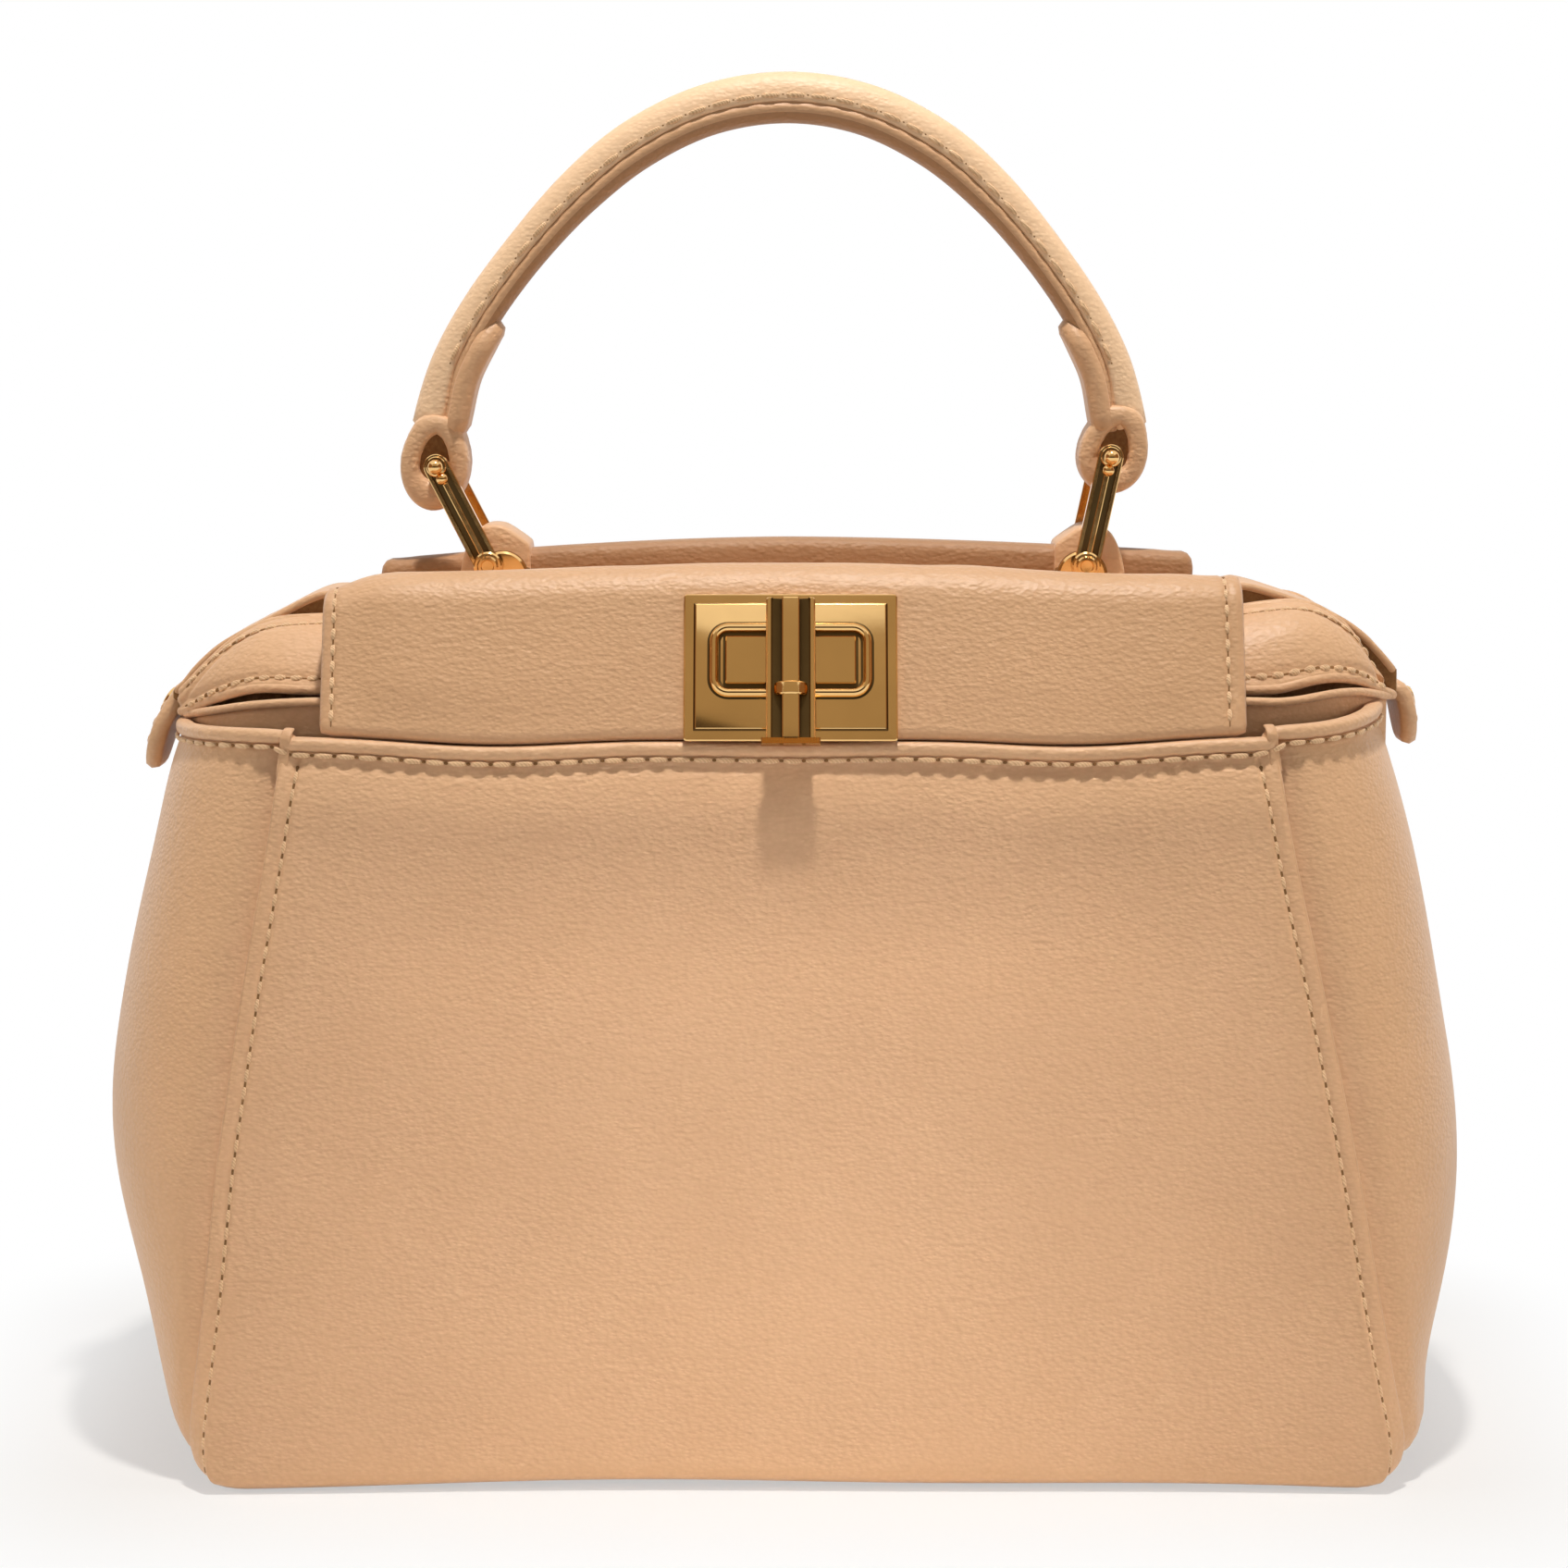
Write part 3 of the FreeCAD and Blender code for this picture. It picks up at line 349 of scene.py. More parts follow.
class Look:
    """A procedural material built up to a principled shader."""

    def __init__(self, name):
        self.material = bpy.data.materials.new(name)
        self.tree = empty_tree(self.material)
        self.place = self.node("TexCoord", out="Object")

    def node(self, kind, inputs=(), out=0, **settings):
        return node(self.tree, kind, inputs, out, **settings)

    def stretched(self, *scale):
        return self.node("Mapping", {"Vector": self.place, "Scale": scale})

    def noise(self, scale, detail=3, roughness=0.55, where=None):
        inputs = {"Vector": where or self.place, "Scale": scale, "Detail": detail, "Roughness": roughness}
        return self.node("TexNoise", inputs, "Fac")

    def waves(self, scale, distortion):
        inputs = {"Vector": self.place, "Scale": scale, "Distortion": distortion}
        return self.node("TexWave", inputs, "Fac", wave_type="BANDS", bands_direction="DIAGONAL")

    def ramp(self, value, *stops):
        colour = self.node("ValToRGB", {"Fac": value}, "Color")
        elements = colour.node.color_ramp.elements
        for end in (0, -1):
            elements[end].position, elements[end].color = stops[end]
        for place, tone in stops[1:-1]:
            elements.new(place).color = tone
        return colour

    def spread(self, value, low, high):
        return self.node("MapRange", {"Value": value, "To Min": low, "To Max": high}, "Result")

    def bump(self, height, strength, distance, under=None):
        inputs = {"Height": height, "Strength": strength, "Distance": distance * MM}
        if under:
            inputs["Normal"] = under
        return self.node("Bump", inputs, "Normal")

    def finish(self, **inputs):
        named = {name.replace("_", " "): value for name, value in inputs.items()}
        shader = self.node("BsdfPrincipled", named, "BSDF")
        self.node("OutputMaterial", {"Surface": shader})
        return self.material

    def toned(self, pattern, shades, rough, ends=(0.3, 0.7), **inputs):
        """Finishes with a colour and a roughness that follow one pattern."""
        colour = self.ramp(pattern, *zip(ends, shades))
        return self.finish(Base_Color=colour, Roughness=self.spread(pattern, *rough), **inputs)


CLOUD = ((0.3, (0.97, 0.96, 0.945)), (0.52, 1), (0.72, (1.02, 1.025, 1.035)))


def leather_look(name, tone, grain=1.0, gloss=0.46):
    """Smooth calf: cloudy tone, fine grain a little longer across than up, and soft gloss."""
    look = Look(name)
    body = look.ramp(look.noise(22, 4, 0.6), *((place, tinted(tone, factor)) for place, factor in CLOUD))
    cells = {"Vector": look.stretched(0.72, 0.9, 1.15), "Scale": 1250, "Smoothness": 0.6}
    pores = look.node("TexVoronoi", cells, "Distance", feature="SMOOTH_F1")
    speck = look.ramp(pores, (0.05, (1, 1, 1, 1)), (0.75, (0.90, 0.87, 0.84, 1)))
    mix = {"Fac": 0.55, "Color1": body, "Color2": speck}
    wrinkles = look.noise(620, 3, 0.6, look.stretched(0.55, 0.8, 1.25))
    fine = look.noise(2600, 3, 0.6, look.stretched(0.7, 0.9, 1.1))
    creases = look.bump(wrinkles, 0.55 * grain, 0.35)
    pebble = look.bump(pores, 0.75 * grain, 0.17, creases)
    return look.finish(
        Base_Color=look.node("MixRGB", mix, "Color", blend_type="MULTIPLY"),
        Roughness=look.spread(look.noise(300), gloss - 0.07, gloss + 0.09),
        Normal=look.bump(fine, 0.2 * grain, 0.08, pebble),
        Specular_IOR_Level=0.42,
        Sheen_Weight=0.12,
        Sheen_Roughness=0.5,
    )


def suede_look():
    look = Look("suede")
    shades = linear(176, 120, 76), linear(216, 160, 112)
    nap = look.bump(look.noise(2400, 3, 0.7), 0.35, 0.12)
    sheen = {"Sheen_Weight": 0.5, "Sheen_Roughness": 0.4, "Specular_IOR_Level": 0.15}
    return look.toned(look.noise(900, 4, 0.7), shades, (0.82, 0.98), Normal=nap, **sheen)


def thread_look():
    look = Look("thread")
    twist = look.waves(900, 1.5)
    shades = linear(216, 175, 132), linear(234, 196, 153)
    sheen = {"Sheen_Weight": 0.2, "Specular_IOR_Level": 0.3}
    return look.toned(twist, shades, (0.5, 0.7), (0.2, 0.8), Normal=look.bump(twist, 0.4, 0.1), **sheen)


# Dark brown that stands for shade: painted shade in needle holes, in the gap round the lug cheeks, inside
# the handle loops and on the walls under the straps
def hole_look():
    look = Look("hole")
    shades = linear(132, 94, 58), linear(156, 114, 74)
    return look.toned(look.noise(1500), shades, (0.8, 0.95), Specular_IOR_Level=0.1)


def gold_look(name, tone, shine):
    """Polished plating with faint wipe marks and a slightly uneven tone."""
    look = Look(name)
    wipes = look.noise(500, 4, 0.65, look.stretched(0.25, 1, 1))
    return look.finish(
        Base_Color=look.ramp(look.noise(60), (0.3, tinted(tone, 0.93)), (0.7, tinted(tone, 1.05))),
        Roughness=look.spread(wipes, shine, shine + 0.12),
        Normal=look.bump(look.noise(220, 2), 0.04, 0.2),
        Metallic=1.0,
    )


def steel_look():
    look = Look("steel")
    shades = (0.54, 0.53, 0.50, 1), (0.68, 0.67, 0.64, 1)
    brush = look.noise(700, 3, 0.6, look.stretched(0.05, 1, 1))
    return look.toned(brush, shades, (0.24, 0.42), Metallic=1.0)


def board_look():
    look = Look("board")
    fibre = look.noise(800, 5, 0.7, look.stretched(0.3, 1, 1))
    shades = linear(176, 130, 86), linear(206, 160, 114)
    relief = look.bump(fibre, 0.25, 0.1)
    return look.toned(fibre, shades, (0.7, 0.9), Normal=relief, Specular_IOR_Level=0.2)


def cord_look():
    look = Look("cord")
    shades = linear(196, 180, 152), linear(232, 222, 204)
    return look.toned(look.waves(350, 2), shades, (0.7, 0.9), (0.2, 0.8))


LOOKS = {
    "leather": leather_look("leather", linear(223, 178, 136)),
    "edge": leather_look("leather_edge", linear(214, 168, 126), 0.7, 0.5),
    # A darker copy of the leather: painted shade on the spine and under the handle's roll
    "deep": leather_look("leather_painted_shade", linear(175, 130, 90), 1.1, 0.55),
    # A darker copy of the leather: painted shade on the flap's front
    "flap": leather_look("leather_flap_painted_shade", linear(212, 167, 125)),
    # A lighter copy of the leather: painted light on the handle's top
    "grip": leather_look("leather_grip_painted_light", linear(245, 206, 165), 0.75, 0.5),
    "suede": suede_look(),
    "thread": thread_look(),
    "hole": hole_look(),
    "gold": gold_look("gold", (0.86, 0.54, 0.22), 0.07),
    "gold_shade": gold_look("gold_shade", (0.13, 0.08, 0.03), 0.3),
    "steel": steel_look(),
    "board": board_look(),
    "cord": cord_look(),
}

# Body
PANEL_HEIGHT = 130
SEAM_BASE_WIDTH, SEAM_TOP_WIDTH, SEAM_SETBACK = 218, 176, 4
GUSSET_BASE, GUSSET_BELLY, GUSSET_MOUTH, BELLY_HEIGHT = 3, 31, 25.6, 75
BASE_DEPTH, MOUTH_DEPTH, PANEL_BULGE = 108, 77, 3.5
CORNER_FULLNESS = 0.64
BOTTOM_RADIUS, BOTTOM_ARCH, CORNER_FORWARD = 3.2, 1.0, 2.2
CORNER_WIDE, CORNER_HIGH, CORNER_PAST = 13, 11, 1.2
PANEL_THICKNESS, PANEL_PROUD = 1.2, 0.3
GUSSET_THICKNESS, GUSSET_TUCK = 1.6, 1.2
MOUTH_RAISE = 2.0
MOUTH_SAG_MIDDLE, MOUTH_SAG_SIDE, MOUTH_SAG_PLACE = 1.2, 1.8, 52
LEFT_SEAM_RISE, RIGHT_SEAM_RISE, RIGHT_RISE = 1.3, 2.0, 2.2
BINDING_HALF_HEIGHT, BINDING_HALF_WIDTH, BINDING_LIFT, BINDING_INSET = 1.35, 1.7, 1.7, 0.5
LINING_INSET, LINING_THICKNESS, LINING_DROP, LINING_STEPS = 2.0, 0.6, 1.2, 24
DIVIDER_HALF, DIVIDER_ROOM = 1.6, 1.5
SEAM_PITCH, BINDING_PITCH, FLAP_PITCH, WING_PITCH, HANDLE_PITCH = 3.2, 4.0, 3.2, 3.1, 4.6
SEAM_LINE = 2.7
# How far each side's seam stands outside the straight line, as (height, distance) pairs
SEAM_FIT = {
    -1: [(0, 0.3), (6, 0.3), (14, 0.7), (34, 1.3), (58, 2.6), (90, 3.0), (130, 2.6)],
    1: [
        (0, 3.9), (11, 3.9), (24, 3.3), (41, 2.9), (58, 2.6),
        (75, 2.0), (93, 1.2), (106, 0.4), (130, -0.3),
    ],
}
# How far each gusset stands outside the plain bulge, as (distance, height, spread) of its swells and hollows
GUSSET_FIT = {
    -1: [(-2.7, 30, 20), (2.5, 0, 6), (1.4, PANEL_HEIGHT, 14)],
    1: [(-2.7, 80, 34), (7.2, 0, 13)],
}
# The folded strip over each seam's top, as (height above the mouth, inset) pairs
SEAM_STRIP = [(-5, -0.3), (-0.2, -0.8), (1.0, -1.3), (1.8, -1.35), (2.7, -0.8), (3.1, 0.3)]
# The base panel's rim from the inside round to the underside, as (height, growth) pairs
BASE_RIM = ((2.2, -1.2), (2.0, -0.3), (1.2, 0), (0.5, -0.3), (0.25, -1.0))
BASE_TOP, BASE_UNDER, BASE_SHARES = 2.2, 0.25, (0.8, 0.5, 0.2)
TURNS = np.linspace(0, 1, 201)
BEND = np.linspace(0, math.pi / 2, 8)
WALL_SHARES = np.concatenate([np.linspace(0, 0.88, 42)[1:], np.linspace(0.88, 1, 18)[1:]])


def seam_half(z):
    return (SEAM_BASE_WIDTH - (SEAM_BASE_WIDTH - SEAM_TOP_WIDTH) * z / PANEL_HEIGHT) / 2


def gusset_reach(z):
    """How far the gusset bulges past the seam."""
    below = (GUSSET_BELLY - GUSSET_BASE) * (1 - z / BELLY_HEIGHT) ** 2
    above = (GUSSET_BELLY - GUSSET_MOUTH) * ((z - BELLY_HEIGHT) / (PANEL_HEIGHT - BELLY_HEIGHT)) ** 2
    return GUSSET_BELLY - np.where(z < BELLY_HEIGHT, below, above)


def gusset_fit(side, z):
    """How each gusset departs from the plain bulge: the left is slack low down, the right higher up."""
    fits = (sum(far * near(z - at, reach) for far, at, reach in GUSSET_FIT[way]) for way in (-1, 1))
    return by_side(side, *fits)


def half_depth(z):
    slope = (BASE_DEPTH + (MOUTH_DEPTH - BASE_DEPTH) * z / PANEL_HEIGHT) / 2
    return slope + PANEL_BULGE * np.sin(math.pi * np.clip(z / PANEL_HEIGHT, 0, 1))


def turn_run(t):
    """Share of the sideways reach along the round end, from the flat face to the gusset's middle."""
    return 3 * (1 - t) ** 2 * t * CORNER_FULLNESS + 3 * (1 - t) * t**2 + t**3


def turn_depth(t):
    return (1 - t) ** 3 + 3 * (1 - t) ** 2 * t + 3 * (1 - t) * t**2 * CORNER_FULLNESS


def seam_fit(side, z):
    return by_side(side, *(np.interp(z, *zip(*SEAM_FIT[way])) for way in (-1, 1)))


def corner_start(side):
    return seam_half(0) + seam_fit(side, 0) + CORNER_PAST - CORNER_WIDE


def corner_bow(share):
    return 1 - np.sqrt(1 - share**2 / 2)


def rounded_corner(x, z, side):
    """Bends the square bottom corner, seen from the front, into a round one."""
    along = np.clip((x - corner_start(side)) / CORNER_WIDE, 0, 1)
    down = np.clip(1 - z / CORNER_HIGH, 0, 1)
    return x - CORNER_WIDE * along * corner_bow(down), z + CORNER_HIGH * down * corner_bow(along)


def floor_line(x):
    """Height of the body's underside along its length."""
    size = np.abs(x)
    arch = BOTTOM_ARCH * (1 - np.clip(size / (seam_half(0) - SEAM_SETBACK), 0, 1) ** 2)
    along = np.clip((size - corner_start(x)) / (CORNER_WIDE * math.sqrt(0.5)), 0, 1)
    return arch + CORNER_HIGH * corner_bow(along)


def skin(c, z, inset=0.0):
    """A point of the body's front half. c runs from the left gusset's middle, -3, over its seam, -2, and the
    start of the flat face, -1, to the right gusset's middle, 3."""
    size = np.abs(c)
    reach = gusset_reach(z) + SEAM_SETBACK + gusset_fit(c, z) - seam_fit(c, z)
    seam = np.interp(SEAM_SETBACK / reach, turn_run(TURNS), TURNS)
    turn = seam * np.clip(size - 1, 0, 1) + (1 - seam) * np.clip(size - 2, 0, 1)
    flat = seam_half(z) + seam_fit(c, z) - SEAM_SETBACK
    x = np.clip(size, 0, 1) * flat + (reach - inset) * turn_run(turn)
    y = -(half_depth(z) - inset) * turn_depth(turn)
    y = y - CORNER_FORWARD * near(size - 1.1, 0.45) * (1 - ease(z, 0, 45))
    arch = BOTTOM_ARCH * (1 - np.clip(size, 0, 1) ** 2) * (1 - ease(z, 0, 40))
    x, z = rounded_corner(x, z, c)
    return spots(np.sign(c) * x, y, z + arch)


def mouth_sag(x):
    """The mouth's line sinks a little in the middle and more either side of it."""
    return MOUTH_SAG_MIDDLE * near(x, 30) + MOUTH_SAG_SIDE * near(np.abs(x) - MOUTH_SAG_PLACE, 22)


def mouth(c):
    """Height of the wall's top edge along the same run, rising over the gussets."""
    size = np.abs(c)
    flat = np.clip(size, 0, 1) * (SEAM_TOP_WIDTH / 2 - SEAM_SETBACK)
    x = flat + np.clip(size - 1, 0, 1) * SEAM_SETBACK
    at_seam = ease(size, 1.75, 2.05)
    left = LEFT_SEAM_RISE * at_seam * (1 - ease(size, 2.1, 3))
    right = RIGHT_SEAM_RISE * at_seam + RIGHT_RISE * ease(size, 2, 3)
    return PANEL_HEIGHT + MOUTH_RAISE - mouth_sag(x) + by_side(c, left, right)


def wall_levels(c):
    """Heights and insets of a wall's rows at the given columns; its foot turns under."""
    foot = np.repeat(BOTTOM_RADIUS * (1 - np.cos(BEND))[:, None], len(c), 1)
    wall = BOTTOM_RADIUS + (mouth(c) - BOTTOM_RADIUS) * WALL_SHARES[:, None]
    inset = np.concatenate([BOTTOM_RADIUS * (1 - np.sin(BEND)), 0 * WALL_SHARES])
    return np.concatenate([foot, wall]), inset[:, None]


def wall(grid, rise, thickness):
    """A wall's leather, raised from a plain grid but not sunk below the floor, and its outer face."""
    grid = grid + grid_normals(grid) * rise[..., None]
    grid[..., 2] = np.maximum(grid[..., 2], 0)
    return sheet(grid, thickness, "leather", inner="suede", edge="edge"), grid


def panel():
    """The front panel with its seam grooves, folds and slack, and its two seam rows."""
    edge = np.linspace(0, 1, 17)[1:]
    c = np.concatenate([-1 - edge[::-1], np.linspace(-1, 1, 81), 1 + edge])
    z, inset = wall_levels(c)
    grid = skin(c, z, inset)
    x = grid[..., 0]
    inside = SEAM_SETBACK * (2 - np.clip(np.abs(c), 1, 2)) + (1 - np.clip(np.abs(c), 0, 1)) * 100
    below = mouth(c) - z
    grooves = 0.4 * near(inside - SEAM_LINE, 0.6) + 0.35 * near(below - 1.6, 1.0)
    folds = 0.9 * near(below - 9, 6) - 1.1 * near(below - 30, 13) * ease(inside, 2.7, 40)
    slack = 0.35 * np.sin(x / 31 + 0.6) * np.sin(z / 37 + 0.4) + 0.25 * np.sin(x / 17 - z / 29)
    rise = PANEL_PROUD - grooves + folds + 0.15 * near(inside - 0.9, 0.8) + slack
    shape, grid = wall(grid, rise, PANEL_THICKNESS)
    span = slice(len(BEND) - 1, -3)
    return shape, seam_rows(grid, span, inside - SEAM_LINE, c, SEAM_PITCH, width=0.8, rise=0.1, hole=0.5)


def gusset(side):
    """A gusset from under the front panel's edge round to under the back panel's."""
    c = side * np.concatenate([np.linspace(1.3, 2, 7)[:-1], np.linspace(2, 3, 29)])
    z, inset = wall_levels(c)
    grid = skin(c, z, inset)
    seam = skin(side * 2.0, z[:, :1], inset)
    beyond = np.linalg.norm(grid - seam, axis=-1) * np.sign(np.abs(c) - 2)
    halves = ((grid, grid * MIRROR_Y), (beyond, beyond), (z, z))
    whole = (np.concatenate([front, back[:, -2::-1]], axis=1) for front, back in halves)
    grid, beyond, z = (part[:, ::side] for part in whole)
    slack = 0.4 * np.sin(z / 23 + side) * np.sin(grid[..., 1] / 19) * ease(beyond, 3, 12)
    return wall(grid, slack - GUSSET_TUCK * (1 - ease(beyond, 0.5, 6)), GUSSET_THICKNESS)[0]


def binding():
    """The rolled binding along the front half of the mouth, and the stitches just below it."""
    runs = ((-2.99, -2, 40), (-2, -1, 10), (-1, 1, 120), (1, 2, 10), (2, 2.99, 40))
    c = np.concatenate([runs[0][:1], *(np.linspace(*run)[1:] for run in runs)])
    top = mouth(c)
    path = skin(c, top, BINDING_INSET) + UP * BINDING_LIFT
    fold = 1 - 0.13 * near(np.abs(c) - 2, 0.05)
    section = rounded_section(BINDING_HALF_WIDTH, BINDING_HALF_HEIGHT)
    roll = sweep(path, section * fold[:, None, None], UP, "leather")
    for side in (-2.0, 2.0):
        over = mouth(side)
        run = unit(skin(side * 1.03, over) - skin(side * 0.97, over))
        strip = curve([skin(side, over + height, inset) for height, inset in SEAM_STRIP], 24)
        roll.join(sweep(strip, rounded_section(0.28, 1.0, 3, 12), run, "edge", cap=0.3))
    outer = skin(c, top - 0.1, -0.8)
    facing = unit(np.cross(np.gradient(outer, axis=0), UP))
    thread = {"width": 0.95, "fill": 0.84, "rise": 0.3, "hole": 0.3}
    return roll, stitches(outer[2:-2], facing[2:-2], BINDING_PITCH, **thread)


def lining():
    """A suede cup in the front compartment, from the walls to the divider."""
    c = np.linspace(-2.95, 2.95, 120)

    def ring(z, inset):
        loop = skin(c, z, inset)
        loop[:, 1] = np.minimum(loop[:, 1], inset * 0.5 - DIVIDER_HALF - DIVIDER_ROOM)
        divide = np.linspace(loop[-1], loop[0], 24)[1:-1]
        return np.concatenate([loop, divide])

    top = mouth(c) - LINING_DROP
    low = BOTTOM_RADIUS
    inner = LINING_INSET + LINING_THICKNESS
    shares = np.linspace(0, 1, LINING_STEPS)
    rings = [ring(low + (top - low) * share, LINING_INSET) for share in shares]
    rings += [ring(low + 1 + (top - low - 1) * share, inner) for share in shares[::-1]]
    return stacked(rings, "suede")


def base():
    """The base panel, with a rolled rim inside the walls' turned-under feet."""
    c = np.linspace(-3, 3, 140)
    front = skin(c, 0 * c + 0.2, BOTTOM_RADIUS - 0.5)
    loop = np.concatenate([front, (front * MIRROR_Y)[::-1][1:-1]])
    rings = [(loop + unit(loop * (1, 1, 0)) * grow, height) for height, grow in BASE_RIM]
    for share in BASE_SHARES:
        rings = [(loop * share, BASE_TOP), *rings, (loop * share, BASE_UNDER)]
    for ring, height in rings:
        ring[:, 2] = floor_line(ring[:, 0]) + height - BASE_UNDER
    return stacked([ring for ring, height in rings][::-1], "leather")


def body():
    front, panel_rows = panel()
    roll, binding_rows = binding()
    cup = lining()
    for face, way in FACES:
        front.mirrored(y=way).build(face + "_panel_skin", "bag", "leather", face + "_panel")
        panel_rows.mirrored(y=way).build(face + "_seam_stitches", "bag", "cord")
        roll.mirrored(y=way).build(face + "_binding_roll", "bag", "leather_edge", face + "_top_binding")
        binding_rows.mirrored(y=way).build(face + "_binding_stitches", "bag", "cord")
        cup.mirrored(y=way).build(face + "_lining_cup", "bag", "lining", face + "_lining")
    for name, side in SIDES:
        gusset(side).build(name + "_gusset_skin", "bag", "leather", name + "_gusset")
    base().build("base_skin", "bag", "leather", "base_panel", crisp=PLAIN_CRISP)


body()

# Top of the bag
SPINE_RADIUS, SPINE_INSET, SPINE_CAP = 4.3, 1.8, 2.2
SPINE_LEFT_FALL, SPINE_RIGHT_FALL, SPINE_FALL_POWER = 4.1, 2.7, 1.65
FLAP_HALF_WIDTH, FLAP_THICKNESS, FLAP_ROLL = 83.3, 3, 6
FLAP_LEAN = math.radians(20)
FLAP_UP = np.array([0, math.sin(FLAP_LEAN), math.cos(FLAP_LEAN)])
FLAP_OUT = np.array([0, -math.cos(FLAP_LEAN), math.sin(FLAP_LEAN)])
FLAP_CORNER, FLAP_LOW = np.array([-26.776, 164.4]), np.array([-37.804, 134.1])
FLAP_LOW_LIFT, FLAP_CROWN, HINGE_FALL = 1.2, 1.3, 0.85
FLAP_FALL, FLAP_FALL_START, FLAP_FALL_END = 2.6, 8, 72
FLAP_PUFF, FLAP_GROOVE, LOCK_CLEAR_WIDTH, LOCK_CLEAR_HEIGHT = 0.55, 0.4, 24, 17
# Places of a flap's closely set columns, from its end inwards
FLAP_RIM = np.array([0, 0.4, 0.8, 1.2, 1.7, 2.1, 2.6, 3.1, 3.6, 4.4, 5.6])
# A flap's sideways shift, how far its left and right end droop and over what reach, how much of that is left
# at the hinge, and the left and right seams' distances from the ends
FLAP_SETTINGS = {
    "front": (-0.6, (1.8, -0.3), 4, 0.9, (0.3, 1.7)),
    "back": (0.0, (9.0, 9.0), 18, 0.0, (1.4, 1.4)),
}


def spine():
    """The padded roll over the divider, a little pinched at its ends, in the darker leather as painted
    shade.
    """
    high = [*cad_corners("spine_cover")][1]
    half = high[0] - SPINE_INSET
    x = np.linspace(-half, half, 90)
    fall = by_side(x, SPINE_LEFT_FALL, SPINE_RIGHT_FALL) * np.abs(x / half) ** SPINE_FALL_POWER
    pinch = 1 - 0.05 * near(half - np.abs(x) - 2.5, 0.8)
    section = rounded_section(SPINE_RADIUS, SPINE_RADIUS, 3.6, 36) * pinch[:, None, None]
    roll = sweep(spots(x, 0, high[2] - SPINE_RADIUS - fall), section, UP, "deep", cap=SPINE_CAP)
    roll.build("spine_roll", "bag", "leather", "spine_cover")


def flap_profile():
    """Middle line of the flap from its low edge over the rolled corner to the hinge, as (y, z) points."""
    hinge = PIVOT["front_flap_lift"][1:]
    down = unit(FLAP_LOW - FLAP_CORNER)
    back = unit(hinge - FLAP_CORNER)
    bend = math.acos(np.dot(down, back))
    reach = FLAP_ROLL / math.tan(bend / 2)
    centre = FLAP_CORNER + unit(down + back) * FLAP_ROLL / math.sin(bend / 2)
    first, last = FLAP_CORNER + down * reach, FLAP_CORNER + back * reach
    low = FLAP_LOW - down * FLAP_THICKNESS / 2
    angle = math.atan2(*(first - centre)[::-1]) - (math.pi - bend) * np.linspace(0, 1, 14)
    arc = centre + FLAP_ROLL * np.stack([np.cos(angle), np.sin(angle)], -1)
    return np.concatenate([np.linspace(low, first, 40)[:-1], arc, np.linspace(last, hinge, 14)[1:]])


def flap_fall(x):
    """How far a flap's top sinks from its middle to its ends."""
    return FLAP_FALL * ease(np.abs(x), FLAP_FALL_START, FLAP_FALL_END)


def flap(name):
    """A flap, made at the front, and its end seams; its ends droop and its low edge follows the mouth."""
    shift, droops, droop_reach, droop_left, seams = FLAP_SETTINGS[name]
    line = flap_profile()
    half = FLAP_HALF_WIDTH - FLAP_THICKNESS / 2
    x = np.concatenate([FLAP_RIM - half, np.linspace(-half + 7, half - 7, 70), half - FLAP_RIM[::-1]])
    middle = spots(x[None], line[:, :1], line[:, 1:])
    out = grid_normals(middle)
    run = run_along(line)
    corner = np.linalg.norm(FLAP_CORNER - FLAP_LOW)

    def share(at_hinge):
        """How much of a change counts from the low edge over the corner to the hinge."""
        return np.interp(run, [0, 8, corner, run[-1]], [0, 0.35, 1, at_hinge])[:, None]

    droop = droops[0] * near(half + x, droop_reach) + droops[1] * near(half - x, droop_reach)
    low_drop = (mouth_sag(x) - FLAP_LOW_LIFT) * (1 - ease(run, 0, 22))[:, None]
    rise = share(0) * FLAP_CROWN - share(HINGE_FALL) * flap_fall(x) - share(droop_left) * droop - low_drop
    face = middle + out * FLAP_THICKNESS / 2 + FLAP_UP * rise[..., None]
    inside = half - np.abs(x)
    lock_height = PIVOT["front_toggle_turn"][2]
    up_down = np.abs(face[..., 2] - lock_height)
    from_lock = np.maximum(np.abs(x) / LOCK_CLEAR_WIDTH, up_down / LOCK_CLEAR_HEIGHT)
    puff = FLAP_PUFF * ease(inside, 2.6, 12) * ease(from_lock, 1, 1.5) * ease(run, 0, 10)[:, None]
    seam = by_side(x, *seams)
    puff = puff * (1 + 0.5 * np.sin(x / 13 + 0.7)) - FLAP_GROOVE * near(inside - seam, 0.55)
    face = face + out * puff[..., None] + ACROSS * shift
    shape = sheet(face, FLAP_THICKNESS, "leather", inner="suede", edge="edge")
    # The flap's front, up to the rolled corner, takes the darker leather as painted shade
    front_faces = (len(x) - 1) * np.sum(run < corner)
    shape.looks[:front_faces] = ["flap"] * front_faces
    return shape, seam_rows(face, slice(1, -18), inside - seam, x, FLAP_PITCH)


def hinge_strip():
    """The soft strip between the divider and the flap's hinge."""
    low, high = cad_corners("front_hinge_strip")
    x = np.linspace(low[0] + 1, high[0] - 1, 40)
    y = np.linspace(low[1] + 1, high[1], 10)[:, None]
    grid = spots(x, y, high[2] - HINGE_FALL * flap_fall(x))
    return sheet(grid, high[2] - low[2], "leather", edge="edge")


